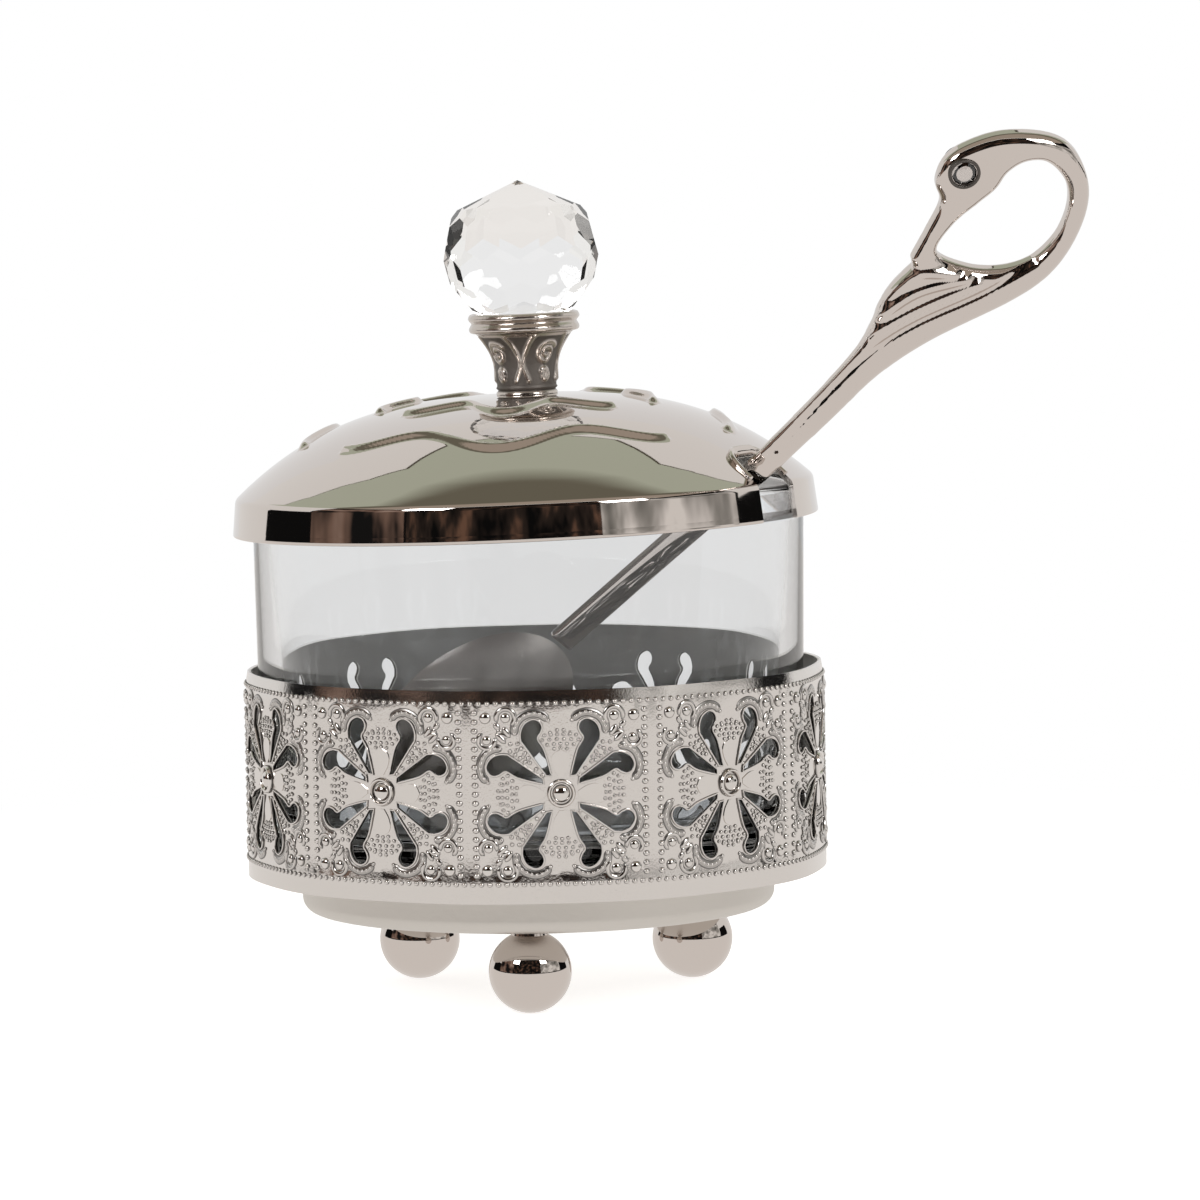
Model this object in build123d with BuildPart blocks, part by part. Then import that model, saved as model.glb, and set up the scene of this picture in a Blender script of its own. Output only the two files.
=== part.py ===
"""Honey pot on ball feet: pierced stand, glass bowl, lift-off lid with a crystal knob, and a swan spoon.

Millimetres, +Z up. The origin is on the pot's axis, on the table. The front faces -Y and +X is to the
right. A turn is an angle about the pot's axis, counted from the front towards the right.
"""
from build123d import *
from math import cos, degrees, pi, radians, sin, sqrt
import os

os.makedirs("parts", exist_ok=True)

# ---------------------------------------------------------------- driving dimensions
# Ball feet
foot_diameter = 13.3          # ball
foot_flat = 0.1               # worn flat under each ball, measured up the ball
foot_neck_diameter = 5.6      # short neck between ball and pan
foot_inset = 12.4             # from the dish's side in to the circle through the feet's axes
foot_shift = (1.3, -2.0)      # how far that circle's middle lies off the pot's axis
front_foot_turn = -5.6        # turn of the first foot about that middle
foot_names = ["front", "right", "left"]

# Foot screws, pan head, from inside the pan into the balls
foot_screw_diameter = 3.0
foot_screw_head_diameter = 5.5
foot_screw_head_height = 1.6
foot_screw_grip = 6.5         # length of shank inside the neck and ball
screw_head_round = 0.45       # rounding of every screw head, as a share of its height
slot_width = 0.7              # driver slot in every screw head
slot_depth = 0.7
screw_clearance = 0.1         # on the radius, round a screw's shank

# Base pan, one pressed sheet: a round dish hanging from a flat flange with an upturned lip
pan_height = 13.7             # underside of the dish above the table
pan_sheet = 0.9
dish_inset = 8.6              # from the band's outer face in to the dish's side
dish_corner = 2.2             # rounding between the dish's side and bottom
dish_depth = 6.1              # from the flange's underside down to the dish's underside
lip_height = 2.2              # upturned lip above the flange

# Pierced band, soldered round the pan's lip
band_radius = 47.3            # outer face of the plain sheet
band_sheet = 1.0
band_height = 33.5            # whole strip, plain edges included
plain_strip = 3.1             # plain edge under the lower bead row
plain_rim = 2.0               # plain edge over the upper bead row
rim_inset = 0.5               # how far the top edge leans in
bead_ridge = 0.3              # height of the bead rows
bead_row_width = 0.8
solder_gap = 0.05
panel_count = 10
first_panel_turn = 5.3        # turn of the first panel's middle
hub_diameter = 3.9
hub_height = 0.7
hub_draft = 20                # degrees
petal_cut = 4.0               # how deep the punch goes each way from the band's face
column_spacing = 2.4          # between the two bead columns that part two panels
column_ridge = 0.25           # height of the bead columns

# Petal openings: eight to a rosette, each a drop with a straight outer side and a round head that the
# fleur on the spoke nips. The points run up the spoke's side and round the head, from the hub's centre
petal_points = [
    (1.1, 3.0), (1.5, 5.4), (1.9, 7.2), (3.35, 8.6), (3.0, 10.0), (3.3, 11.3), (4.5, 11.8), (5.9, 11.0), (6.2, 9.2),
]
petal_side_root = (2.4, 3.0)

# Glass bowl
glass_room = 1.3              # between the band and the glass, at the glass rim's radius
glass_taper = 0.8             # how much narrower the glass is above its rounded heel
glass_height = 62.1
glass_wall = 2.0              # under the rim's band
glass_low_wall = 5.4          # just above the floor: the mould's draft makes the wall thicker downwards
glass_floor = 7.6
glass_heel = 5.5
glass_cove = 3.5              # rounding between the wall and the floor, inside
glass_rim_band = 4.0          # thickened band under the rim
glass_rim_taper = 1.5         # where the thick band runs out into the wall
glass_rim_wall = 2.2
glass_rim_round = 1.0
glass_shift = -0.6            # the bowl stands this far to the left in the stand

# Lid, one pressed sheet
lid_overhang = 2.2            # from the glass rim out to the crease, where the dome meets the skirt
skirt_flare = 0.6             # from the crease out to the skirt's lower edge
lid_sheet = 0.8
skirt_height = 5.9
dome_rise = 15.1              # from the crease to the top
dome_power = 2.9              # how flat the dome's top is
lid_tilt = 1.6                # the spoon's shaft props the right side up
lid_shift = -1.0
lid_rest_gap = 0.2            # between the dome and the glass rim where they meet

# Embossed waves on the lid: an outer and an inner one on each of three sides of the knob
wave_sides = 3
wave_turn = -5.7              # turn of the first side's middle
wave_half_span = 45.5         # degrees each way from a side's middle
wave_width = 2.8
wave_height = 1.5
outer_wave_radius = 33.8      # middle line, from the lid's axis
outer_wave_swing = 2.1        # each way from the middle line
inner_wave_radius = 20.3
inner_wave_swing = 2.9
shoulder_round = 2.2

# Notch for the spoon
notch_turn = 59.6
notch_width = 11.2
notch_reach = 6.2             # from the crease in to the notch's inner end
notch_corner = 3.0
notch_lip_width = 1.5
notch_lip_height = 1.0

# Knob
knob_shift = 1.2              # from the lid's axis towards its raised side
neck_radius = 5.0
neck_foot_height = 3.8        # straight part above the dome
neck_groove = 0.35
neck_groove_height = 0.7      # above the dome
neck_height = 10.0            # dome to cup
neck_top_radius = 7.9
neck_top_slope = 0.9          # how far the neck climbs for each unit outwards under the cup
cup_radius = 9.1
cup_height = 3.3
cup_floor = 1.2
cup_waist = 0.4               # depth of the groove between the cup's two rings
cup_seat_radius = 5.2
cup_mouth_radius = 8.5
crystal_radius = 12.1         # to the middle of a facet
crystal_corner = 1.065        # circumscribed ball over the facets' ball
crystal_tip = 11.7            # tip above the ball's centre
crystal_sink = 11.9           # ball's centre above the crystal's flat seat
facets_round = 12
facet_rows = [38.0, 13.0, -13.0, -38.0, -62.0]   # slope of each row's normal above level
tip_facet_slope = 66.0

# Knob screw and washer under the lid
knob_screw_diameter = 4.0
knob_screw_head_diameter = 7.0
knob_screw_head_height = 2.2
knob_screw_reach = 7.7        # into the neck
washer_diameter = 10.0
washer_thickness = 0.8
washer_seat_gap = 0.06        # the dome is slightly hollow under the washer

# Spoon: one casting
spoon_turn = 61.0             # turn at which the shaft crosses the glass rim
spoon_lift = 4.7              # shaft's centre above the rim where it crosses
spoon_slip = 1.9              # the spoon's own origin lies this far down the shaft from there
spoon_heading = -17.4         # shaft's direction from +X, seen from above
spoon_pitch = 40.5            # shaft's slope
spoon_roll = -35.4            # how far the flat face turns down from upright
shaft_width = 4.4
shaft_thickness = 2.6
swan_thickness = 4.6
swan_start = 30.0             # along the shaft, where it has grown to its full thickness
spoon_reach = 80.0            # more than the swan's far end along the shaft
spoon_bowl_length = 38.0
spoon_bowl_width = 26.0
spoon_bowl_depth = 5.5
spoon_bowl_wall = 1.2
spoon_bowl_centre = -65.0     # along the shaft
bowl_lap = 0.7                # how far the shaft runs into the bowl's edge
eye_place = (57.9, 15.6)      # along and across the shaft
eye_radius = 2.0
eye_recess = 0.9
eye_crown = 0.5               # how far the crystal stands out of its setting
eye_table_radius = 1.1
eye_facets = 12
bezel_width = 0.5
bezel_height = 0.35
eye_clearance = 0.05

# ---------------------------------------------------------------- worked-out places
dish_radius = band_radius - dish_inset
foot_circle_radius = dish_radius - foot_inset
foot_radius = foot_diameter / 2
foot_centre = foot_radius - foot_flat
pan_floor = pan_height + pan_sheet
flange_under = pan_height + dish_depth
flange_top = flange_under + pan_sheet
band_inner = band_radius - band_sheet
lip_outer = band_inner - solder_gap
lower_beads = flange_under + plain_strip
band_top = flange_under + band_height
upper_beads = band_top - plain_rim
panel_middle = (lower_beads + upper_beads) / 2
glass_radius = band_inner - glass_room
glass_foot_radius = glass_radius - glass_taper
glass_bottom = flange_top
glass_top = glass_bottom + glass_height
glass_axis = Axis((glass_shift, 0, 0), (0, 0, 1))
lid_crease_radius = glass_radius + lid_overhang
lid_radius = lid_crease_radius + skirt_flare
notch_depth_radius = lid_crease_radius - notch_reach
lid_top = skirt_height + dome_rise
over_lid = lid_top + 2 * wave_height           # a height that clears everything on the dome

upright = Plane.XZ            # x to the right, y up, seen from the front


def outward(turn):
    """Unit direction away from the pot's axis at a turn."""
    return Vector(sin(radians(turn)), -cos(radians(turn)), 0)


def wall_plane(turn, radius, height):
    """Plane touching an upright round wall: x to the right, y up, z outwards."""
    away = outward(turn)
    return Plane(origin=away * radius + Vector(0, 0, height), x_dir=Vector(0, 0, 1).cross(away), z_dir=away)


def dome_height(radius):
    """Height of the lid's outer face above the skirt's edge, in the lid's own frame."""
    return lid_top - dome_rise * (radius / lid_crease_radius) ** dome_power


def dome_slope(radius):
    """Fall of the dome's outer face for each unit outwards."""
    return dome_power * dome_rise / lid_crease_radius * (radius / lid_crease_radius) ** (dome_power - 1)


# The lid comes down until its low, left side meets the glass's rounded rim
rim_centre = glass_radius - glass_rim_round - (glass_shift - lid_shift)
rim_reach = (glass_rim_round + lid_rest_gap + lid_sheet) * sqrt(1 + dome_slope(rim_centre) ** 2)
lid_seat = glass_top - glass_rim_round + rim_reach + rim_centre * sin(radians(lid_tilt)) - dome_height(rim_centre)
lid_plane = Plane(
    origin=(lid_shift, 0, lid_seat),
    x_dir=(cos(radians(lid_tilt)), 0, sin(radians(lid_tilt))),
    z_dir=(-sin(radians(lid_tilt)), 0, cos(radians(lid_tilt))),
)
lid_upright = Plane(origin=lid_plane.origin, x_dir=lid_plane.x_dir, z_dir=-lid_plane.y_dir)
lid_axis = Axis(lid_plane.origin, lid_plane.z_dir)
knob_origin = lid_plane.origin + lid_plane.x_dir * knob_shift
knob_plane = Plane(origin=knob_origin, x_dir=lid_plane.x_dir, z_dir=lid_plane.z_dir)
knob_upright = Plane(origin=knob_origin, x_dir=lid_plane.x_dir, z_dir=-lid_plane.y_dir)
knob_axis = Axis(knob_origin, lid_plane.z_dir)


# ---------------------------------------------------------------- stand
lip_top = flange_top + lip_height

with BuildPart() as base_pan:
    with BuildSketch(upright):
        with BuildLine():
            corner_centre = (dish_radius - dish_corner, pan_height + dish_corner)
            inner_corner = dish_corner - pan_sheet
            Polyline((0, pan_floor), (0, pan_height), (corner_centre[0], pan_height))
            CenterArc(corner_centre, dish_corner, -90, 90)
            Polyline(
                (dish_radius, corner_centre[1]),
                (dish_radius, flange_under),
                (lip_outer, flange_under),
                (lip_outer, lip_top),
                (lip_outer - pan_sheet, lip_top),
                (lip_outer - pan_sheet, flange_top),
                (dish_radius - pan_sheet, flange_top),
                (dish_radius - pan_sheet, corner_centre[1]),
            )
            CenterArc(corner_centre, inner_corner, -90, 90)
            Line((corner_centre[0], pan_floor), (0, pan_floor))
        make_face()
    revolve(axis=Axis.Z)
    foot_turns = [front_foot_turn + index * 360 / len(foot_names) for index in range(len(foot_names))]
    foot_middle = Vector(*foot_shift, 0)
    foot_places = [foot_middle + outward(turn) * foot_circle_radius for turn in foot_turns]
    for foot_place in foot_places:
        with BuildSketch(Plane(origin=foot_place + Vector(0, 0, pan_height))):
            Circle(foot_screw_diameter / 2 + screw_clearance)
        extrude(amount=pan_sheet, mode=Mode.SUBTRACT)
base_pan.part.label = "base_pan"
export_step(base_pan.part, "parts/base_pan.step")

for name, foot_place in zip(foot_names, foot_places):
    foot_upright = Plane(origin=foot_place, x_dir=upright.x_dir, z_dir=upright.z_dir)
    foot_axis = Axis(foot_place, (0, 0, 1))
    flat_radius = sqrt(foot_radius**2 - foot_centre**2)
    stem_radius = foot_neck_diameter / 2
    neck_start = foot_centre + sqrt(foot_radius**2 - stem_radius**2)
    bore_radius = foot_screw_diameter / 2 + screw_clearance
    bore_bottom = pan_height - foot_screw_grip - screw_clearance

    with BuildPart() as foot_ball:
        with BuildSketch(foot_upright):
            with BuildLine():
                Line((0, 0), (flat_radius, 0))
                ThreePointArc((flat_radius, 0), (foot_radius, foot_centre), (stem_radius, neck_start))
                Polyline(
                    (stem_radius, neck_start),
                    (stem_radius, pan_height),
                    (bore_radius, pan_height),
                    (bore_radius, bore_bottom),
                    (0, bore_bottom),
                    (0, 0),
                )
            make_face()
        revolve(axis=foot_axis)
    foot_ball.part.label = "foot_ball_" + name
    export_step(foot_ball.part, "parts/foot_ball_" + name + ".step")

    with BuildPart() as foot_screw:
        with BuildSketch(Plane(origin=foot_place + Vector(0, 0, pan_height - foot_screw_grip))):
            Circle(foot_screw_diameter / 2)
        extrude(amount=foot_screw_grip + pan_sheet)
        with BuildSketch(Plane(origin=foot_place + Vector(0, 0, pan_floor))):
            Circle(foot_screw_head_diameter / 2)
        extrude(amount=foot_screw_head_height)
        head_rim = foot_screw.edges().group_by(Axis.Z)[-1]
        fillet(head_rim, radius=foot_screw_head_height * screw_head_round)
        with BuildSketch(Plane(origin=foot_place + Vector(0, 0, pan_floor + foot_screw_head_height - slot_depth))):
            Rectangle(foot_screw_head_diameter, slot_width)
        extrude(amount=slot_depth, mode=Mode.SUBTRACT)
    foot_screw.part.label = "foot_screw_" + name
    export_step(foot_screw.part, "parts/foot_screw_" + name + ".step")

# Rosette of eight petal openings, drawn flat once: one pair of petals, turned to four sides
with BuildSketch() as petal_pair:
    with BuildLine():
        Spline(petal_points)
        Polyline(petal_points[-1], petal_side_root, petal_points[0])
    make_face()
    mirror(about=Plane.YZ)

with BuildPart() as filigree_band:
    half_row = bead_row_width / 2
    with BuildSketch(upright):
        with BuildLine():
            Polyline(
                (band_inner, flange_under),
                (band_radius, flange_under),
                (band_radius, lower_beads - half_row),
                (band_radius + bead_ridge, lower_beads),
                (band_radius, lower_beads + half_row),
                (band_radius, upper_beads - half_row),
                (band_radius + bead_ridge, upper_beads),
                (band_radius, upper_beads + half_row),
                (band_radius - rim_inset, band_top),
                (band_inner - rim_inset, band_top),
                (band_inner, upper_beads),
                (band_inner, flange_under),
            )
        make_face()
    revolve(axis=Axis.Z)
    for panel in range(panel_count):
        panel_turn = first_panel_turn + panel * 360 / panel_count
        with BuildSketch(wall_plane(panel_turn, band_radius, panel_middle)):
            for side in range(4):
                add(petal_pair.sketch, rotation=side * 90)
        extrude(amount=petal_cut, both=True, mode=Mode.SUBTRACT)
        with BuildSketch(wall_plane(panel_turn, band_radius - band_sheet / 2, panel_middle)):
            Circle(hub_diameter / 2)
        extrude(amount=band_sheet / 2 + hub_height, taper=hub_draft)
        for side in (-1, 1):
            column_turn = panel_turn + side * (180 / panel_count - degrees(column_spacing / 2 / band_radius))
            with BuildSketch(wall_plane(column_turn, band_radius - band_sheet / 2, panel_middle)):
                Rectangle(bead_row_width, upper_beads - lower_beads)
            extrude(amount=band_sheet / 2 + column_ridge)
filigree_band.part.label = "filigree_band"
export_step(filigree_band.part, "parts/filigree_band.step")

# ---------------------------------------------------------------- glass bowl
with BuildPart() as glass_bowl:
    glass_inner = glass_radius - glass_wall
    floor_top = glass_bottom + glass_floor
    rim_inner = glass_radius - glass_rim_wall
    rim_low = glass_top - glass_rim_band
    glass_upright = Plane(origin=(glass_shift, 0, 0), x_dir=upright.x_dir, z_dir=upright.z_dir)
    with BuildSketch(glass_upright) as glass_section:
        with BuildLine():
            heel = CenterArc((glass_foot_radius - glass_heel, glass_bottom + glass_heel), glass_heel, -90, 90)
            Polyline(heel @ 1, (glass_radius, rim_low), (glass_radius, glass_top), (rim_inner, glass_top))
            Polyline((rim_inner, glass_top), (rim_inner, rim_low), (glass_inner, rim_low - glass_rim_taper))
            inside_foot = glass_foot_radius - glass_low_wall
            cove = CenterArc((inside_foot - glass_cove, floor_top + glass_cove), glass_cove, -90, 90)
            Line((glass_inner, rim_low - glass_rim_taper), cove @ 1)
            Polyline(cove @ 0, (0, floor_top), (0, glass_bottom), heel @ 0)
        make_face()
        rim_corners = glass_section.vertices().group_by(Axis.Y)[-1]
        fillet(rim_corners, radius=glass_rim_round)
    revolve(axis=glass_axis)
glass_bowl.part.label = "glass_bowl"
export_step(glass_bowl.part, "parts/glass_bowl.step")


# ---------------------------------------------------------------- lid
def lid_outline(inset):
    """Half section under the lid's outer face moved inwards by an inset, closed down the axis."""
    crease_drop = 0.55            # how far the crease drops for each unit inwards
    crease = (lid_crease_radius - inset, skirt_height - inset * crease_drop)
    top_drop = 1 - crease_drop    # what is left of the inset at the dome's top
    steps = 5
    with BuildSketch() as section:
        with BuildLine():
            points = []
            for step in range(steps + 1):
                radius = crease[0] * step / steps
                stretched = radius * lid_crease_radius / crease[0]
                rise = dome_height(stretched) - skirt_height
                points.append((radius, crease[1] + rise * (dome_rise - inset * top_drop) / dome_rise))
            Spline(points, tangents=[(1, 0), (1, -dome_slope(lid_crease_radius))])
            Polyline(crease, (lid_radius - inset, 0), (0, 0), points[0])
        make_face()
        shoulder = section.vertices().sort_by_distance(Vector(*crease, 0))[0]
        fillet(shoulder, radius=shoulder_round)
    return section.sketch


def wave_points(middle, swing):
    """Points of one wave round the lid's axis, about the front: two crests swing towards the knob."""
    points = []
    spans = 12
    for index in range(spans + 1):
        turn = wave_half_span * (2 * index / spans - 1)
        radius = middle + swing * cos(4 * pi * index / spans)
        points.append((radius * sin(radians(turn)), -radius * cos(radians(turn))))
    return points


with BuildPart() as lid_skin:
    with BuildSketch(lid_upright):
        add(lid_outline(-wave_height))
        add(lid_outline(lid_sheet / 2), mode=Mode.SUBTRACT)
    revolve(axis=lid_axis)

with BuildPart() as lid_relief:
    with BuildSketch(lid_plane):
        for middle, swing in ((outer_wave_radius, outer_wave_swing), (inner_wave_radius, inner_wave_swing)):
            points = wave_points(middle, swing)
            with BuildSketch(mode=Mode.PRIVATE) as wave:
                with BuildLine():
                    Spline(points)
                trace(line_width=wave_width)
                with Locations(points[0], points[-1]):
                    Circle(wave_width / 2)
            for side in range(wave_sides):
                add(wave.sketch, rotation=wave_turn + side * 360 / wave_sides)
    extrude(amount=over_lid)
    add(lid_skin.part, mode=Mode.INTERSECT)

notch_along = notch_turn - 90          # direction of the notch in the lid's own frame, from its x axis
notch_length = notch_reach + notch_width       # well past the skirt
with BuildSketch() as notch_outline:
    with Locations((notch_depth_radius + notch_length / 2, 0)):
        Rectangle(notch_length, notch_width)
    inner_corners = notch_outline.vertices().group_by(Axis.X)[0]
    fillet(inner_corners, radius=notch_corner)

with BuildPart() as notch_lip:
    with BuildSketch(lid_plane):
        with BuildSketch(mode=Mode.PRIVATE) as lip_outline:
            add(notch_outline.sketch)
            offset(amount=notch_lip_width)
            add(notch_outline.sketch, mode=Mode.SUBTRACT)
        add(lip_outline.sketch, rotation=notch_along)
    extrude(amount=over_lid)
    add(lid_skin.part, mode=Mode.INTERSECT)
    with BuildSketch(lid_plane):
        Circle(lid_crease_radius + notch_width)
        Circle(lid_crease_radius - notch_lip_width, mode=Mode.SUBTRACT)
    extrude(amount=over_lid, mode=Mode.SUBTRACT)

with BuildPart() as lid_shell:
    with BuildSketch(lid_upright):
        add(lid_outline(0))
        add(lid_outline(lid_sheet), mode=Mode.SUBTRACT)
    revolve(axis=lid_axis)
    add(lid_relief.part)
    add(notch_lip.part)
    with BuildSketch(lid_plane):
        add(notch_outline.sketch, rotation=notch_along)
    extrude(amount=over_lid, mode=Mode.SUBTRACT)
    with BuildSketch(knob_plane):
        Circle(knob_screw_diameter / 2 + screw_clearance)
    extrude(amount=over_lid, mode=Mode.SUBTRACT)
lid_shell.part.label = "lid_shell"
export_step(lid_shell.part, "parts/lid_shell.step")

# ---------------------------------------------------------------- knob
knob_bore = knob_screw_diameter / 2 + screw_clearance
neck_top = lid_top + neck_height
with BuildPart() as knob_neck:
    with BuildSketch(knob_upright):
        with BuildLine():
            foot_top = lid_top + neck_foot_height
            groove_at = lid_top + neck_groove_height
            Polyline(
                (0, neck_top),
                (0, lid_top + knob_screw_reach + screw_clearance),
                (knob_bore, lid_top + knob_screw_reach + screw_clearance),
                (knob_bore, lid_top),
                (neck_radius, lid_top),
                (neck_radius, groove_at - neck_groove),
                (neck_radius - neck_groove, groove_at),
                (neck_radius, groove_at + neck_groove),
                (neck_radius, foot_top),
            )
            Spline((neck_radius, foot_top), (neck_top_radius, neck_top), tangents=[(0, 1), (1, neck_top_slope)])
            Line((neck_top_radius, neck_top), (0, neck_top))
        make_face()
    revolve(axis=knob_axis)
knob_neck.part.label = "knob_neck"
export_step(knob_neck.part, "parts/knob_neck.step")

with BuildPart() as knob_cup:
    ring_height = cup_height / 3
    cup_top = neck_top + cup_height
    seat_height = neck_top + cup_floor
    with BuildSketch(knob_upright):
        with BuildLine():
            Polyline((0, seat_height), (0, neck_top), (neck_top_radius, neck_top))
            ThreePointArc(
                (neck_top_radius, neck_top),
                (cup_radius, neck_top + ring_height),
                (cup_radius - cup_waist, neck_top + ring_height * 1.7),
            )
            ThreePointArc(
                (cup_radius - cup_waist, neck_top + ring_height * 1.7),
                (cup_radius, neck_top + ring_height * 2.4),
                (cup_mouth_radius, cup_top),
            )
            Polyline((cup_mouth_radius, cup_top), (cup_seat_radius, seat_height), (0, seat_height))
        make_face()
    revolve(axis=knob_axis)
knob_cup.part.label = "knob_cup"
export_step(knob_cup.part, "parts/knob_cup.step")

crystal_centre = knob_plane.offset(neck_top + cup_floor + crystal_sink)


def facet_plane(slope, turn, distance):
    """Plane of one facet, its normal pointing out of the ball at a slope and a turn."""
    normal = (
        crystal_centre.z_dir * sin(radians(slope))
        + crystal_centre.x_dir * (cos(radians(slope)) * cos(radians(turn)))
        + crystal_centre.y_dir * (cos(radians(slope)) * sin(radians(turn)))
    )
    return Plane(origin=crystal_centre.origin + normal * distance, z_dir=normal)


with BuildPart(crystal_centre) as knob_crystal:
    Sphere(crystal_radius * crystal_corner)
    facet_step = 360 / facets_round
    for row, slope in enumerate([tip_facet_slope] + facet_rows):
        distance = crystal_tip * sin(radians(slope)) if row == 0 else crystal_radius
        for facet in range(facets_round):
            turn = (facet + row / 2) * facet_step
            split(bisect_by=facet_plane(slope, turn, distance), keep=Keep.BOTTOM)
    split(bisect_by=crystal_centre.offset(-crystal_sink), keep=Keep.TOP)
knob_crystal.part.label = "knob_crystal"
export_step(knob_crystal.part, "parts/knob_crystal.step")

washer_top = lid_top - lid_sheet - washer_seat_gap
with BuildPart() as knob_washer:
    with BuildSketch(knob_plane.offset(washer_top - washer_thickness)):
        Circle(washer_diameter / 2)
        Circle(knob_bore, mode=Mode.SUBTRACT)
    extrude(amount=washer_thickness)
knob_washer.part.label = "knob_washer"
export_step(knob_washer.part, "parts/knob_washer.step")

with BuildPart() as knob_screw:
    head_top = washer_top - washer_thickness
    head_plane = knob_plane.offset(head_top - knob_screw_head_height)
    with BuildSketch(head_plane):
        Circle(knob_screw_head_diameter / 2)
    extrude(amount=knob_screw_head_height)
    head_rim = knob_screw.edges().filter_by(GeomType.CIRCLE).sort_by_distance(head_plane.origin)[0]
    fillet(head_rim, radius=knob_screw_head_height * screw_head_round)
    with BuildSketch(knob_plane.offset(head_top)):
        Circle(knob_screw_diameter / 2)
    extrude(amount=lid_top + knob_screw_reach - head_top)
    with BuildSketch(head_plane):
        Rectangle(knob_screw_head_diameter, slot_width)
    extrude(amount=slot_depth, mode=Mode.SUBTRACT)
knob_screw.part.label = "knob_screw"
export_step(knob_screw.part, "parts/knob_screw.step")

# ---------------------------------------------------------------- spoon
# The spoon's own plane has x up the shaft, y across it and z out of the flat face
rim_crossing = outward(spoon_turn) * (glass_radius - glass_rim_round) + Vector(0, 0, glass_top + spoon_lift)
level = cos(radians(spoon_pitch))
shaft_way = Vector(
    level * cos(radians(spoon_heading)),
    level * sin(radians(spoon_heading)),
    sin(radians(spoon_pitch)),
)
spoon_origin = rim_crossing - shaft_way * spoon_slip
level_normal = Vector(sin(radians(spoon_heading)), -cos(radians(spoon_heading)), 0)
face_way = level_normal * cos(radians(spoon_roll)) + level_normal.cross(shaft_way) * sin(radians(spoon_roll))
spoon_plane = Plane(origin=spoon_origin, x_dir=shaft_way, z_dir=face_way)
spoon_side = Plane(origin=spoon_origin, x_dir=shaft_way, z_dir=-spoon_plane.y_dir)

half_shaft = shaft_width / 2
shaft_end = spoon_bowl_centre + spoon_bowl_length / 2 - bowl_lap
belly_points = [(14, -1.8), (24, -1.4), (34, -3.0), (47, -7.2), (54, -8.4), (60, -7.5), (66, -4.7), (70, -0.8)]
neck_points = [(72.2, 5.0), (71, 10), (66.4, 15.4), (61, 18.3), (57, 18.8), (53.4, 17.0), (51.6, 13.9), (47, 11.9)]
wing_points = [(41, 8.7), (36.6, 8.5), (33, 7.6), (29, 5.6), (24, 4.1), (14, 3.0)]
loop_points = [
    (45.4, 7.9), (50.5, 9.6), (55.5, 9.4), (59.3, 9.2), (62.4, 9.9), (65.6, 9.2), (67.9, 6.6),
    (67.7, 2.2), (65.5, -1.1), (62, -3.4), (58.5, -4.4), (54.5, -4.2), (50.4, -2.0), (47, 2.2),
]
beak_tip = (41.8, 10.0)

# The bowl is a cap cut from a hollow spheroid that turns about a line along the shaft
half_bowl = spoon_bowl_width / 2
cross_radius = (half_bowl**2 + spoon_bowl_depth**2) / (2 * spoon_bowl_depth)
long_radius = spoon_bowl_length / 2 * cross_radius / half_bowl
turning_line = spoon_side.from_local_coords((spoon_bowl_centre, spoon_bowl_depth - cross_radius, 0))
with BuildPart() as spoon_bowl:
    with BuildSketch(spoon_side):
        with Locations((spoon_bowl_centre, spoon_bowl_depth - cross_radius)):
            Ellipse(long_radius, cross_radius)
            Ellipse(long_radius - spoon_bowl_wall, cross_radius - spoon_bowl_wall, mode=Mode.SUBTRACT)
            Rectangle(3 * long_radius, 2 * cross_radius, align=(Align.CENTER, Align.MAX), mode=Mode.SUBTRACT)
    revolve(axis=Axis(turning_line, shaft_way))
    split(bisect_by=spoon_plane, keep=Keep.TOP)

with BuildPart() as spoon:
    with BuildSketch(spoon_plane):
        with BuildLine():
            Line((0, half_shaft), (shaft_end, half_shaft))
            Line((shaft_end, half_shaft), (shaft_end, -half_shaft))
            Line((shaft_end, -half_shaft), (0, -half_shaft))
            Spline([(0, -half_shaft)] + belly_points + neck_points + [beak_tip])
            Line(beak_tip, wing_points[0])
            Spline(wing_points + [(0, half_shaft)])
        make_face()
        with BuildLine():
            Spline(loop_points, periodic=True)
        make_face(mode=Mode.SUBTRACT)
    extrude(amount=swan_thickness, both=True)
    # Side view: thin at the bowl, thickest through the swan
    thin = shaft_thickness / 2
    thick = swan_thickness / 2
    with BuildSketch(spoon_side):
        Polygon(
            (shaft_end - bowl_lap, -thin), (0, -thin), (swan_start, -thick), (spoon_reach, -thick),
            (spoon_reach, thick), (swan_start, thick), (0, thin), (shaft_end - bowl_lap, thin),
            align=None,
        )
    extrude(amount=spoon_reach, both=True, mode=Mode.INTERSECT)
    # Settings for the eye crystals, one on each face of the head
    for face_side in (1, -1):
        eye_plane = Plane(
            origin=spoon_plane.from_local_coords((eye_place[0], eye_place[1], face_side * thick)),
            x_dir=shaft_way,
            z_dir=face_way * face_side,
        )
        with BuildSketch(eye_plane):
            Circle(eye_radius + eye_clearance + bezel_width)
        extrude(amount=bezel_height)
        with BuildSketch(eye_plane.offset(-eye_recess)):
            Circle(eye_radius + eye_clearance)
        extrude(amount=eye_recess + bezel_height, mode=Mode.SUBTRACT)
    add(spoon_bowl.part)
spoon.part.label = "spoon"
export_step(spoon.part, "parts/spoon.step")

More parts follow.
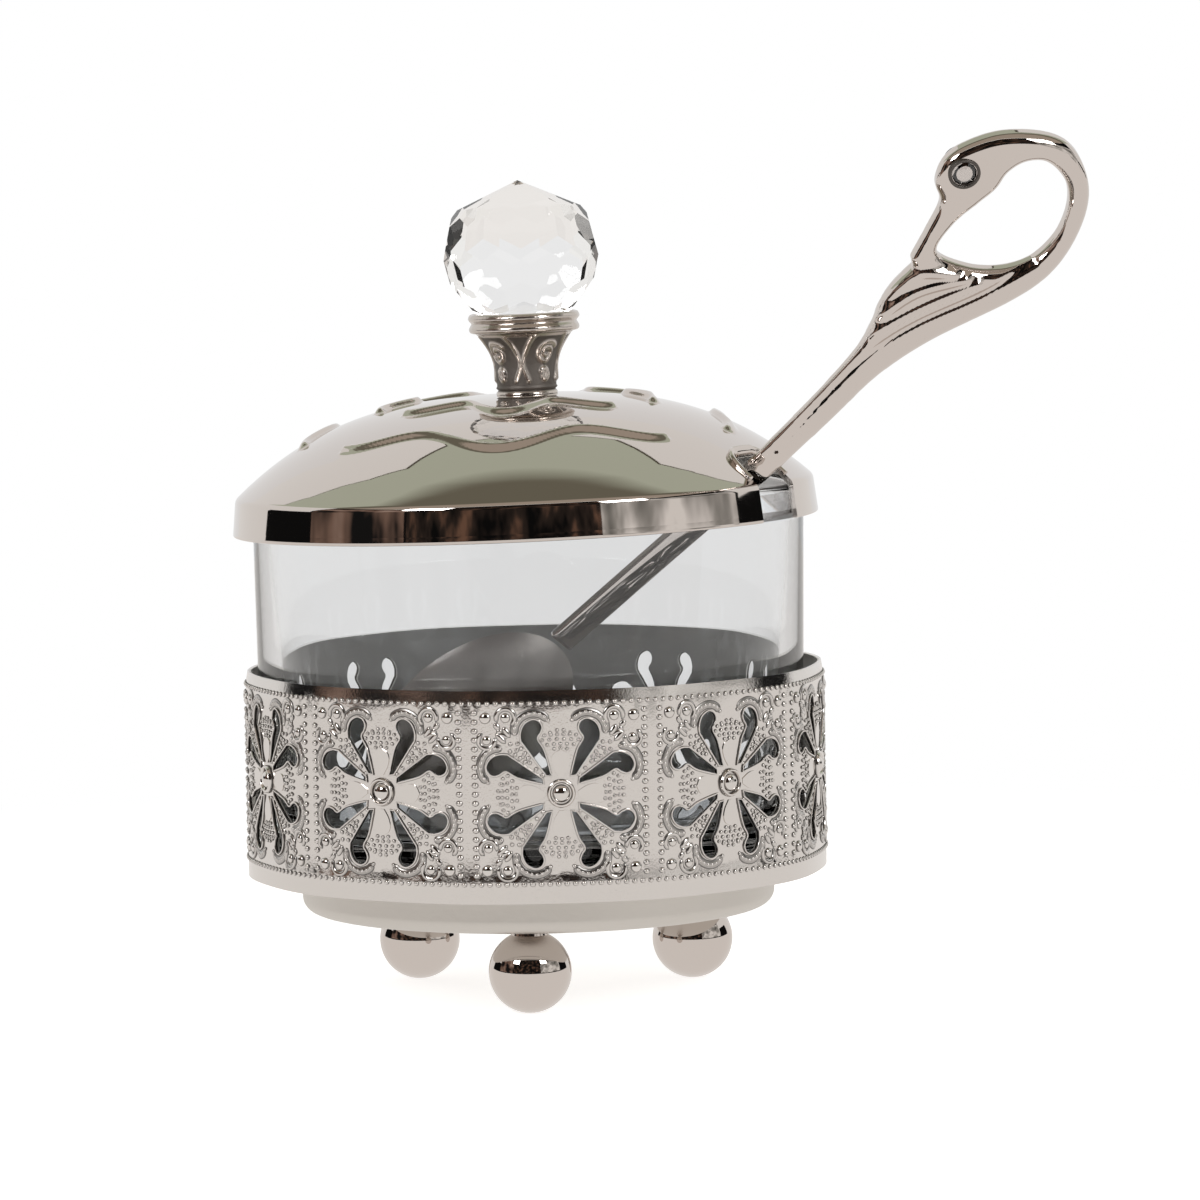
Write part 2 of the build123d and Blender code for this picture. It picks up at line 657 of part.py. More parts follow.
for name, face_side in (("front", 1), ("back", -1)):
    eye_seat = Plane(
        origin=spoon_plane.from_local_coords((eye_place[0], eye_place[1], face_side * (thick - eye_recess))),
        x_dir=shaft_way,
        z_dir=face_way * face_side,
    )
    with BuildPart() as eye_crystal:
        with BuildSketch(eye_seat):
            RegularPolygon(eye_radius, eye_facets)
        extrude(amount=eye_recess)
        with BuildSketch(eye_seat.offset(eye_recess)):
            RegularPolygon(eye_radius, eye_facets)
        with BuildSketch(eye_seat.offset(eye_recess + eye_crown)):
            RegularPolygon(eye_table_radius, eye_facets)
        loft()
    eye_crystal.part.label = "eye_crystal_" + name
    export_step(eye_crystal.part, "parts/eye_crystal_" + name + ".step")
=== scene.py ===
"""Looks of the honey pot: pierced stand on ball feet, glass bowl, domed lid with a crystal knob, swan spoon.

Lengths are millimetres until a piece is placed. A turn is an angle about an upright axis, in degrees,
counted from the front (-Y) towards the right (+X).
"""
import logging
from collections.abc import Callable, Iterable, Sequence
from dataclasses import dataclass, field
from enum import Enum
from math import atan2, ceil, cos, degrees, hypot, pi, radians, sin, sqrt, tau

import bmesh
import bpy
from mathutils import Matrix, Vector, kdtree


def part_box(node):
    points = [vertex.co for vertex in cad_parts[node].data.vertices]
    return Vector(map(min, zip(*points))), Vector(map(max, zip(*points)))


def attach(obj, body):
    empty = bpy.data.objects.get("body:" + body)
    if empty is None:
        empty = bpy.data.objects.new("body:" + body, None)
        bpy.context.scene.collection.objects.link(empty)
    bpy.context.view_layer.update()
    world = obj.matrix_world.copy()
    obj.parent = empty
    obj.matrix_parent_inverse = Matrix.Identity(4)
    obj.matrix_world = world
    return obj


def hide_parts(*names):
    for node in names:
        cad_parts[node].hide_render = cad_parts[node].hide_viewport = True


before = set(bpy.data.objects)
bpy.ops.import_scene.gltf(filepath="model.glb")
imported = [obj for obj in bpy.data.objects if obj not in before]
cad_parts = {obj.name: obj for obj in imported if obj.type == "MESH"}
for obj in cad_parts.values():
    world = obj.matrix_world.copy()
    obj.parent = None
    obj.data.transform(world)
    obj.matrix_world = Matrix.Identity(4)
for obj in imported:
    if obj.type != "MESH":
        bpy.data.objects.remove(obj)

log = logging.getLogger("honey_pot")

MM = 0.001
Flat = tuple[float, float]
Color = tuple[float, float, float]
Mesh = bmesh.types.BMesh


class Body(Enum):
    """Moving bodies that pieces ride on."""

    STAND = "stand"
    GLASS = "glass"
    LID = "lid"
    SPOON = "spoon"


class Slot(Enum):
    """Material slots of the record."""

    NICKEL = "nickel"
    SATIN = "nickel_satin"
    FILIGREE = "nickel_filigree"
    ANTIQUE = "nickel_antique"
    STEEL = "steel"
    GLASS = "glass"
    CRYSTAL = "crystal"


# ---------------------------------------------------------------- finishes
@dataclass(frozen=True)
class MetalFinish:
    """A plated or bare metal.

    Attributes:
        slot: Record slot it belongs to.
        color: Reflection colour face on.
        patina_and_painted_light: Colour that the hollow attribute mixes in: painted shade at the band's
            raised pieces, patina with painted shade in the neck, paler painted light on inner faces, the eye
            settings' dark tone.
        roughness: Blur of its reflections.
        marks: Depth of the polishing marks, 0 for none.
        mark_scale: Marks across one metre.
        waviness: Depth of the slow unevenness of pressed sheet.
        suffix: Ending of its material's name, where a slot has several finishes.
    """

    slot: Slot
    color: Color
    # The default dark tone is painted shade at the band's raised pieces, and patina with painted shade in the
    # neck.
    patina_and_painted_light: Color = (0.05, 0.045, 0.04)
    roughness: float = 0.05
    marks: float = 0.0
    mark_scale: float = 900.0
    waviness: float = 0.0
    suffix: str = ""


@dataclass(frozen=True)
class ClearFinish:
    """Glass or crystal.

    Attributes:
        slot: Record slot it belongs to.
        color: Tint of what is seen through it.
        ior: Refractive index.
        roughness: Blur of what is seen through it.
        suffix: Ending of its material's name, where a slot has several finishes.
    """

    slot: Slot
    color: Color
    ior: float
    roughness: float = 0.0
    suffix: str = ""


NICKEL = MetalFinish(Slot.NICKEL, (0.66, 0.605, 0.57), roughness=0.035, waviness=0.05)
# The lid's inner face is rougher, and its paler colour is painted light.
PRESSED = MetalFinish(
    Slot.NICKEL, (0.66, 0.605, 0.57), patina_and_painted_light=(0.72, 0.7, 0.67), roughness=0.035,
    waviness=0.05, suffix="_pressed",
)
SATIN = MetalFinish(Slot.SATIN, (0.68, 0.65, 0.61), roughness=0.4, marks=0.1)
BRUSHED = MetalFinish(Slot.NICKEL, (0.6, 0.56, 0.53), roughness=0.3, marks=0.1, suffix="_brushed")
# Its dark tone is painted shade at the foot of the band's raised pieces.
FILIGREE = MetalFinish(Slot.FILIGREE, (0.72, 0.69, 0.665), roughness=0.06)
# The band's inner face is rougher, as its satin inside is, and its paler colour is painted light.
GRAINED = MetalFinish(
    Slot.FILIGREE, (0.72, 0.69, 0.665), patina_and_painted_light=(0.82, 0.8, 0.76), roughness=0.09,
    marks=0.06, mark_scale=3000.0, suffix="_grained",
)
# Its dark tone is patina with painted shade in the neck's recesses between the scrolls.
ANTIQUE = MetalFinish(Slot.ANTIQUE, (0.58, 0.53, 0.49), roughness=0.14, marks=0.2)
STEEL = MetalFinish(Slot.STEEL, (0.56, 0.55, 0.54), roughness=0.2, marks=0.2)
GLASS = ClearFinish(Slot.GLASS, (0.935, 0.955, 0.975), 1.47)
CRYSTAL = ClearFinish(Slot.CRYSTAL, (0.995, 0.995, 0.995), 1.3)
EYE = ClearFinish(Slot.CRYSTAL, (0.96, 0.98, 1.0), 1.8, suffix="_eye")


class Finishes:
    """Makes each finish's material once, and the node groups that they share."""

    def __init__(self) -> None:
        self.made: dict[str, bpy.types.Material] = {}
        self.polish = self._polish_group()
        self.patina_and_painted_light = self._patina_and_painted_light_group()

    @staticmethod
    def _group(name: str, inputs: Sequence[tuple[str, str]], outputs: Sequence[tuple[str, str]]):
        """Starts a shader node group.

        Args:
            name: Name of the group.
            inputs: Name and socket type of each input.
            outputs: Name and socket type of each output.

        Returns:
            The group, its input node and its output node.
        """
        group = bpy.data.node_groups.new(name, "ShaderNodeTree")
        for label, kind in inputs:
            group.interface.new_socket(label, in_out="INPUT", socket_type=kind)
        for label, kind in outputs:
            group.interface.new_socket(label, in_out="OUTPUT", socket_type=kind)
        return group, group.nodes.new("NodeGroupInput"), group.nodes.new("NodeGroupOutput")

    def _polish_group(self) -> bpy.types.NodeTree:
        """Fine polishing marks and slow unevenness, as a height and a share of roughness."""
        group, start, end = self._group(
            "polish_marks",
            [
                ("Vector", "NodeSocketVector"), ("Scale", "NodeSocketFloat"),
                ("Marks", "NodeSocketFloat"), ("Waviness", "NodeSocketFloat"),
            ],
            [("Height", "NodeSocketFloat"), ("Blur", "NodeSocketFloat")],
        )
        link = group.links.new
        fine = group.nodes.new("ShaderNodeTexNoise")
        fine.inputs["Detail"].default_value = 4.0
        slow = group.nodes.new("ShaderNodeTexNoise")
        slow.inputs["Scale"].default_value = 75.0
        slow.inputs["Detail"].default_value = 1.0
        link(start.outputs["Vector"], fine.inputs["Vector"])
        link(start.outputs["Vector"], slow.inputs["Vector"])
        link(start.outputs["Scale"], fine.inputs["Scale"])
        depths = []
        for texture, amount in ((fine, "Marks"), (slow, "Waviness")):
            depth = group.nodes.new("ShaderNodeMath")
            depth.operation = "MULTIPLY"
            link(texture.outputs["Fac"], depth.inputs[0])
            link(start.outputs[amount], depth.inputs[1])
            depths.append(depth)
        total = group.nodes.new("ShaderNodeMath")
        link(depths[0].outputs[0], total.inputs[0])
        link(depths[1].outputs[0], total.inputs[1])
        link(total.outputs[0], end.inputs["Height"])
        link(depths[0].outputs[0], end.inputs["Blur"])
        return group

    def _patina_and_painted_light_group(self) -> bpy.types.NodeTree:
        """Colour that moves towards the finish's patina and painted light tone with the hollow attribute."""
        group, start, end = self._group(
            "patina_and_painted_light",
            [("Hollow", "NodeSocketFloat"), ("Clean", "NodeSocketColor"), ("Dark", "NodeSocketColor")],
            [("Color", "NodeSocketColor"), ("Blur", "NodeSocketFloat")],
        )
        link = group.links.new
        ramp = group.nodes.new("ShaderNodeMapRange")
        link(start.outputs["Hollow"], ramp.inputs["Value"])
        mix = group.nodes.new("ShaderNodeMix")
        mix.data_type = "RGBA"
        link(ramp.outputs["Result"], mix.inputs["Factor"])
        link(start.outputs["Clean"], mix.inputs["A"])
        link(start.outputs["Dark"], mix.inputs["B"])
        link(mix.outputs["Result"], end.inputs["Color"])
        blur = group.nodes.new("ShaderNodeMath")
        blur.operation = "MULTIPLY"
        blur.inputs[1].default_value = 0.5
        link(ramp.outputs["Result"], blur.inputs[0])
        link(blur.outputs[0], end.inputs["Blur"])
        return group

    def metal(self, name: str, finish: MetalFinish) -> bpy.types.Material:
        """Material of a metal finish.

        Args:
            name: Name of the material.
            finish: The finish.

        Returns:
            The material, made on first use.
        """
        if name in self.made:
            return self.made[name]
        material, nodes, surface = self._material(name)
        link = material.node_tree.links.new
        surface.inputs["Metallic"].default_value = 1.0
        place = nodes.new("ShaderNodeTexCoord")
        polish = nodes.new("ShaderNodeGroup")
        polish.node_tree = self.polish
        link(place.outputs["Object"], polish.inputs["Vector"])
        polish.inputs["Scale"].default_value = finish.mark_scale
        polish.inputs["Marks"].default_value = finish.marks
        polish.inputs["Waviness"].default_value = finish.waviness
        # The hollow attribute mixes in the finish's second tone, which is painted shade at the band's raised
        # pieces, patina with painted shade in the neck, and paler painted light on inner faces.
        hollow = nodes.new("ShaderNodeAttribute")
        hollow.attribute_name = "hollow"
        patina_and_painted_light = nodes.new("ShaderNodeGroup")
        patina_and_painted_light.node_tree = self.patina_and_painted_light
        link(hollow.outputs["Fac"], patina_and_painted_light.inputs["Hollow"])
        patina_and_painted_light.inputs["Clean"].default_value = (*finish.color, 1)
        patina_and_painted_light.inputs["Dark"].default_value = (*finish.patina_and_painted_light, 1)
        link(patina_and_painted_light.outputs["Color"], surface.inputs["Base Color"])
        rough = nodes.new("ShaderNodeMath")
        rough.operation = "MULTIPLY_ADD"
        link(polish.outputs["Blur"], rough.inputs[0])
        rough.inputs[1].default_value = 0.5
        rough.inputs[2].default_value = finish.roughness
        total = nodes.new("ShaderNodeMath")
        link(rough.outputs[0], total.inputs[0])
        link(patina_and_painted_light.outputs["Blur"], total.inputs[1])
        link(total.outputs[0], surface.inputs["Roughness"])
        bump = nodes.new("ShaderNodeBump")
        bump.inputs["Strength"].default_value = 0.6
        bump.inputs["Distance"].default_value = 0.0006
        link(polish.outputs["Height"], bump.inputs["Height"])
        link(bump.outputs["Normal"], surface.inputs["Normal"])
        self.made[name] = material
        return material

    def clear(self, name: str, finish: ClearFinish) -> bpy.types.Material:
        """Material of a glass or crystal finish.

        Args:
            name: Name of the material.
            finish: The finish.

        Returns:
            The material, made on first use.
        """
        if name in self.made:
            return self.made[name]
        material, _, surface = self._material(name)
        surface.inputs["Base Color"].default_value = (*finish.color, 1)
        surface.inputs["Roughness"].default_value = finish.roughness
        surface.inputs["IOR"].default_value = finish.ior
        surface.inputs["Transmission Weight"].default_value = 1.0
        self.made[name] = material
        return material

    def of(self, finish: MetalFinish | ClearFinish) -> bpy.types.Material:
        """Material of any finish.

        Args:
            finish: The finish.

        Returns:
            Its material.
        """
        maker = self.metal if isinstance(finish, MetalFinish) else self.clear
        return maker(finish.slot.value + finish.suffix, finish)

    @staticmethod
    def _material(name: str):
        """A new material, its nodes and its Principled surface."""
        material = bpy.data.materials.new(name)
        material.use_nodes = True
        nodes = material.node_tree.nodes
        return material, nodes, nodes["Principled BSDF"]


# ---------------------------------------------------------------- shaping
def flat_way(turn: float) -> Vector:
    """Unit level direction of a turn."""
    return Vector((sin(radians(turn)), -cos(radians(turn)), 0.0))


def local_frame(origin: Vector, x_way: Vector, z_way: Vector) -> Matrix:
    """Matrix that takes a local frame to the pot's frame.

    Args:
        origin: Where the local origin lies.
        x_way: Direction of the local x axis.
        z_way: Direction of the local z axis.

    Returns:
        The matrix.
    """
    y_way = z_way.cross(x_way)
    turned = Matrix((x_way, y_way, z_way)).transposed().to_4x4()
    return Matrix.Translation(origin) @ turned


def rounded(corners: Sequence[tuple[float, float, float]], step: float = 10.0) -> list[Flat]:
    """Line through corners, each rounded by its own radius.

    Args:
        corners: Two coordinates and the rounding of each corner.
        step: Degrees between the points of a rounding.

    Returns:
        The points of the line.
    """
    points: list[Flat] = []
    for index, (x, y, radius) in enumerate(corners):
        here = Vector((x, y))
        if radius <= 0 or index in (0, len(corners) - 1):
            points.append((x, y))
            continue
        back = (Vector(corners[index - 1][:2]) - here).normalized()
        ahead = (Vector(corners[index + 1][:2]) - here).normalized()
        half = back.angle(ahead) / 2
        centre = here + (back + ahead).normalized() * radius / sin(half)
        first = here + back * radius / abs(sin(half) / cos(half)) - centre
        sweep = (pi - 2 * half) * (1 if back.x * ahead.y - back.y * ahead.x < 0 else -1)
        count = max(2, ceil(degrees(abs(sweep)) / step))
        for number in range(count + 1):
            angle = sweep * number / count
            across = first.x * cos(angle) - first.y * sin(angle)
            along = first.x * sin(angle) + first.y * cos(angle)
            points.append(tuple(centre + Vector((across, along))))
    return points


def smooth_through(points: Sequence[Sequence[float]], steps: int, closed: bool = False) -> list[Vector]:
    """Smooth line through points.

    Args:
        points: Points it passes, of two or three coordinates.
        steps: Points made for each one given.
        closed: Whether it returns to its start.

    Returns:
        The points of the line.
    """
    given = [Vector(point) for point in points]
    count = len(given)
    last = count if closed else count - 1
    line = []
    for index in range(last):
        if closed:
            a, b, c, d = (given[(index + shift) % count] for shift in (-1, 0, 1, 2))
        else:
            b, c = given[index], given[index + 1]
            a = given[index - 1] if index else b * 2 - c
            d = given[index + 2] if index + 2 < count else c * 2 - b
        for step in range(steps):
            t = step / steps
            bend, twist = a * 2 - b * 5 + c * 4 - d, b * 3 - a - c * 3 + d
            line.append(((b * 2) + (c - a) * t + bend * t**2 + twist * t**3) / 2)
    if not closed:
        line.append(given[-1])
    return line


def spaced(line: Sequence[Vector], gap: float) -> list[Vector]:
    """Points at even distances along a line.

    Args:
        line: The line.
        gap: Distance between two points.

    Returns:
        The points.
    """
    spots, left = [line[0].copy()], gap
    for here, there in zip(line, line[1:]):
        length = (there - here).length
        walked = 0.0
        while length - walked >= left:
            walked += left
            spots.append(here.lerp(there, walked / length))
            left = gap
        left -= length - walked
    return spots


def spun(profile: Sequence[Flat], segments: int, closed: bool = False) -> Mesh:
    """Solid made by spinning a profile about the z axis.

    Args:
        profile: Radius and height of its points.
        segments: Steps of the full turn.
        closed: Whether the profile is a loop that stays off the axis.

    Returns:
        The solid.
    """
    bm = bmesh.new()
    verts = [bm.verts.new((radius, 0, height)) for radius, height in profile]
    pairs = list(zip(verts, verts[1:])) + ([(verts[-1], verts[0])] if closed else [])
    edges = [bm.edges.new(pair) for pair in pairs]
    bmesh.ops.spin(
        bm, geom=verts + edges, axis=(0, 0, 1), cent=(0, 0, 0), angle=tau, steps=segments, use_merge=True,
    )
    bmesh.ops.remove_doubles(bm, verts=bm.verts, dist=1e-4)
    bmesh.ops.recalc_face_normals(bm, faces=bm.faces)
    return bm


def tube(
    bm: Mesh, path: Sequence[Vector], wide: Callable[[float], float], high: Callable[[float], float],
    up: Vector, sides: int = 8, closed: bool = False,
) -> None:
    """Adds an oval bar along a path.

    Args:
        bm: Mesh it is added to.
        path: Middle line.
        wide: Half width at a share of the way along.
        high: Half height at a share of the way along.
        up: Direction of its height.
        sides: Sides of the oval.
        closed: Whether the path returns to its start.
    """
    count = len(path)
    rings = []
    for index, point in enumerate(path):
        before = path[index - 1] if index or closed else point
        after = path[(index + 1) % count] if index + 1 < count or closed else point
        along = (after - before).normalized()
        aside = up.cross(along).normalized()
        over = along.cross(aside)
        share = index / (count if closed else count - 1)
        ring = []
        for side in range(sides):
            angle = tau * side / sides
            beside = point + aside * wide(share) * cos(angle)
            ring.append(bm.verts.new(beside + over * high(share) * sin(angle)))
        rings.append(ring)
    pairs = list(zip(rings, rings[1:])) + ([(rings[-1], rings[0])] if closed else [])
    for first, second in pairs:
        for side in range(sides):
            after = (side + 1) % sides
            bm.faces.new((first[side], first[after], second[after], second[side]))
    if not closed:
        bm.faces.new(reversed(rings[0]))
        bm.faces.new(rings[-1])


def tapered(size: float, ends: float = 0.12, least: float = 0.12) -> Callable[[float], float]:
    """Size that rounds off towards both ends of a path.

    Args:
        size: Size away from the ends.
        ends: Share of the path that each end takes.
        least: Size left at the very end, as a share.

    Returns:
        Function of the share of the way along.
    """

    def at(share: float) -> float:
        near = min(share, 1 - share) / ends
        return size * max(least, sqrt(max(0.0, 1 - (1 - near) ** 2)) if near < 1 else 1.0)

    return at


class Ridges:
    """Raised or sunk lines: the height at a place falls off with its distance from the nearest line."""

    def __init__(self, lines: Iterable[Sequence[Sequence[float]]], half_width: float, height: float) -> None:
        """
        Args:
            lines: Points of each line, close together.
            half_width: Distance at which the height has run out.
            height: Height on the line, negative for a groove.
        """
        points = [Vector((*point, 0.0)[:3]) for line in lines for point in line]
        self.tree = kdtree.KDTree(len(points))
        for index, point in enumerate(points):
            self.tree.insert(point, index)
        self.tree.balance()
        self.half_width = half_width
        self.height = height

    def nearest(self, x: float, y: float, z: float = 0.0) -> tuple[Vector, float]:
        """Nearest point of the lines.

        Args:
            x: First coordinate.
            y: Second coordinate.
            z: Third coordinate.

        Returns:
            The point and its distance.
        """
        point, _, distance = self.tree.find((x, y, z))
        return point, distance

    def at(self, x: float, y: float, z: float = 0.0) -> float:
        """Height at a place.

        Args:
            x: First coordinate.
            y: Second coordinate.
            z: Third coordinate.

        Returns:
            The height there.
        """
        share = self.nearest(x, y, z)[1] / self.half_width
        return self.height * (1 - share**2) ** 2 if share < 1 else 0.0


def as_object(bm: Mesh, name: str) -> bpy.types.Object:
    """Puts a mesh in the scene.

    Args:
        bm: The mesh, which is used up.
        name: Name of the object.

    Returns:
        The object.
    """
    mesh = bpy.data.meshes.new(name)
    bm.to_mesh(mesh)
    bm.free()
    made = bpy.data.objects.new(name, mesh)
    bpy.context.scene.collection.objects.link(made)
    return made


def worked(bm: Mesh, *steps: tuple[str, dict]) -> Mesh:
    """Mesh after modifiers.

    Args:
        bm: The mesh, which is used up.
        steps: Type and settings of each modifier.

    Returns:
        The new mesh.
    """
    helper = as_object(bm, "helper")
    for kind, settings in steps:
        modifier = helper.modifiers.new(kind.lower(), kind)
        for key, value in settings.items():
            setattr(modifier, key, value)
    seen = helper.evaluated_get(bpy.context.evaluated_depsgraph_get())
    result = bmesh.new()
    result.from_mesh(seen.to_mesh())
    seen.to_mesh_clear()
    bpy.data.objects.remove(helper)
    return result


def carved(bm: Mesh, cutter: Mesh) -> Mesh:
    """Mesh with another one cut out of it.

    Args:
        bm: The mesh, which is used up.
        cutter: What is cut away, which is used up.

    Returns:
        The new mesh.
    """
    tool = as_object(cutter, "cutter")
    result = worked(bm, ("BOOLEAN", {"operation": "DIFFERENCE", "solver": "EXACT", "object": tool}))
    bpy.data.objects.remove(tool)
    return result


def prism(outline: Sequence[Flat], low: float, high: float) -> Mesh:
    """Upright solid with a flat outline.

    Args:
        outline: Its corners in order.
        low: Height of its bottom.
        high: Height of its top.

    Returns:
        The solid.
    """
    bm = bmesh.new()
    face = bm.faces.new([bm.verts.new((x, y, low)) for x, y in outline])
    top = bmesh.ops.extrude_face_region(bm, geom=[face])["geom"]
    moved = [item for item in top if isinstance(item, bmesh.types.BMVert)]
    bmesh.ops.translate(bm, vec=(0, 0, high - low), verts=moved)
    bmesh.ops.recalc_face_normals(bm, faces=bm.faces)
    return bm


def score(bm: Mesh, place: Sequence[float], facing: Sequence[float]) -> None:
    """Adds edges to a mesh where a plane crosses it.

    Args:
        bm: The mesh.
        place: A point of the plane.
        facing: Direction that the plane faces.
    """
    geom = bm.verts[:] + bm.edges[:] + bm.faces[:]
    bmesh.ops.bisect_plane(bm, geom=geom, dist=1e-4, plane_co=place, plane_no=facing)


def drawn(loops: Iterable[Sequence[Vector]]) -> Mesh:
    """Closed lines on the level z = 0.

    Args:
        loops: Flat points of each line.

    Returns:
        A mesh of their edges.
    """
    bm = bmesh.new()
    for loop in loops:
        verts = [bm.verts.new((point.x, point.y, 0)) for point in loop]
        for index, vert in enumerate(verts):
            bm.edges.new((vert, verts[(index + 1) % len(verts)]))
    return bm


def cad_box(node: str) -> tuple[Vector, Vector]:
    """Lowest and highest corner of a CAD node in millimetres."""
    low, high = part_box(node)
    return low / MM, high / MM


class Assembly:
    """A set of pieces that ride on one body."""

    body: Body

    def __init__(self, finishes: Finishes) -> None:
        """
        Args:
            finishes: Where materials come from.
        """
        self.finishes = finishes

    def place(
        self, bm: Mesh, name: str, finish: MetalFinish | ClearFinish, *,
        where: Matrix | None = None, replaces: Sequence[str] = (), crease: float = 40.0,
        hollow: Callable[[Vector], float] | None = None,
    ) -> bpy.types.Object:
        """Turns a mesh in millimetres into a piece of the object.

        Args:
            bm: The mesh, which is used up.
            name: Name of the piece.
            finish: What it is made of.
            where: Takes the mesh's own frame to the pot's.
            replaces: CAD nodes that it stands for.
            crease: Edges that turn more than this stay sharp, in degrees.
            hollow: Share, from 0 to 1, of the finish's patina and painted light tone that a point of the
                mesh's own frame takes.

        Returns:
            The piece.
        """
        depths = [hollow(vert.co) for vert in bm.verts] if hollow else None
        bmesh.ops.transform(bm, matrix=Matrix.Scale(MM, 4) @ (where or Matrix()), verts=bm.verts)
        piece = as_object(bm, name)
        if depths:
            piece.data.attributes.new("hollow", "FLOAT", "POINT").data.foreach_set("value", depths)
        piece.data.shade_smooth()
        piece.data.set_sharp_from_angle(angle=radians(crease))
        piece.data.materials.append(self.finishes.of(finish))
        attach(piece, self.body.value)
        if replaces:
            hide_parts(*replaces)
        log.info("%s: %d faces", name, len(piece.data.polygons))
        return piece

    def dress(self, node: str, finish: MetalFinish | ClearFinish) -> None:
        """Gives a CAD node its finish.

        Args:
            node: Name of the node.
            finish: What it is made of.
        """
        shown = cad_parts[node]
        shown.data.materials.clear()
        shown.data.materials.append(self.finishes.of(finish))


# ---------------------------------------------------------------- stand
@dataclass
class StandSizes:
    """Sizes of the pan and feet."""

    dish_radius: float = 38.7
    dish_corner: float = 2.2
    dish_bottom: float = 13.7
    flange_under: float = 19.8
    sheet: float = 0.9
    lip_radius: float = 46.2
    lip_height: float = 2.2
    stem_radius: float = 2.8
    feet: tuple[str, ...] = ("front", "right", "left")


class Stand(Assembly):
    """Pressed pan with three ball feet."""

    body = Body.STAND

    def build(self, sizes: StandSizes) -> None:
        """Adds the pan, the feet and their screws.

        Args:
            sizes: Sizes of the pan and feet.
        """
        self.place(self._pan(sizes), "pan", SATIN, replaces=["base_pan"])
        for foot in sizes.feet:
            node = "foot_ball_" + foot
            low, high = cad_box(node)
            middle = (low + high) / 2
            ball = self._ball((high.x - low.x) / 2, high.z, sizes)
            where = Matrix.Translation((middle.x, middle.y, 0))
            self.place(ball, "ball_" + foot, NICKEL, where=where, replaces=[node])
            self.dress("foot_screw_" + foot, STEEL)

    @staticmethod
    def _pan(sizes: StandSizes) -> Mesh:
        """The pan: dish, flange and upturned lip."""
        low, under, sheet = sizes.dish_bottom, sizes.flange_under, sizes.sheet
        dish, lip, top = sizes.dish_radius, sizes.lip_radius, sizes.flange_under + sheet + sizes.lip_height
        profile = rounded(
            [
                (0, low, 0), (dish, low, sizes.dish_corner), (dish, under, 0.4),
                (lip, under, 0.5), (lip, top, 0.2), (lip - sheet, top, 0.2),
                (lip - sheet, under + sheet, 0.2), (dish - sheet, under + sheet, 0.4),
                (dish - sheet, low + sheet, sizes.dish_corner - sheet), (0, low + sheet, 0),
            ]
        )
        return spun(profile, 192)

    @staticmethod
    def _ball(radius: float, top: float, sizes: StandSizes) -> Mesh:
        """One ball foot with its short neck."""
        count = 48
        middle = radius - 0.1
        points = [(0.0, 0.0)]
        for number in range(count + 1):
            angle = pi * number / count
            across, height = radius * sin(angle), middle - radius * cos(angle)
            if height > 0 and not (height > middle and across < sizes.stem_radius):
                points.append((across, height))
        points += [(sizes.stem_radius, top), (0.0, top)]
        return spun(points, 96)


# ---------------------------------------------------------------- pierced band
@dataclass
class BandSizes:
    """Sizes of the pierced band."""

    radius: float = 47.3
    low: float = 19.8
    lower_beads: float = 22.9
    upper_beads: float = 51.3
    high: float = 53.3
    lean: float = 0.3
    sheet: float = 0.6
    panels: int = 10
    first_turn: float = 5.3
    hollowing: float = 0.45
    foot_flare: float = 0.16
    foot_flare_at: Flat = (-12.8, -13.8)
    strip: float = 1.0
    # How high painted shade reaches up the raised pieces from the sheet.
    painted_shade_height: float = 0.26
    column_bead: tuple[float, float, float] = (0.58, 0.48, 0.4)
    row_bead: tuple[float, float, float] = (0.48, 0.42, 0.36)
    head_bead: tuple[float, float, float] = (0.38, 0.36, 0.3)
    fleur_bead: tuple[float, float, float] = (0.35, 0.32, 0.3)
    petal: list[Flat] = field(default_factory=lambda: [
        (1.5, 2.75), (2.1, 5.2), (2.7, 7.1), (3.6, 8.65), (3.1, 9.6), (2.85, 10.5),
        (3.3, 11.4), (4.4, 11.75), (5.7, 11.0), (6.3, 9.6), (6.25, 8.3),
    ])
    petal_root: Flat = (2.4, 2.85)


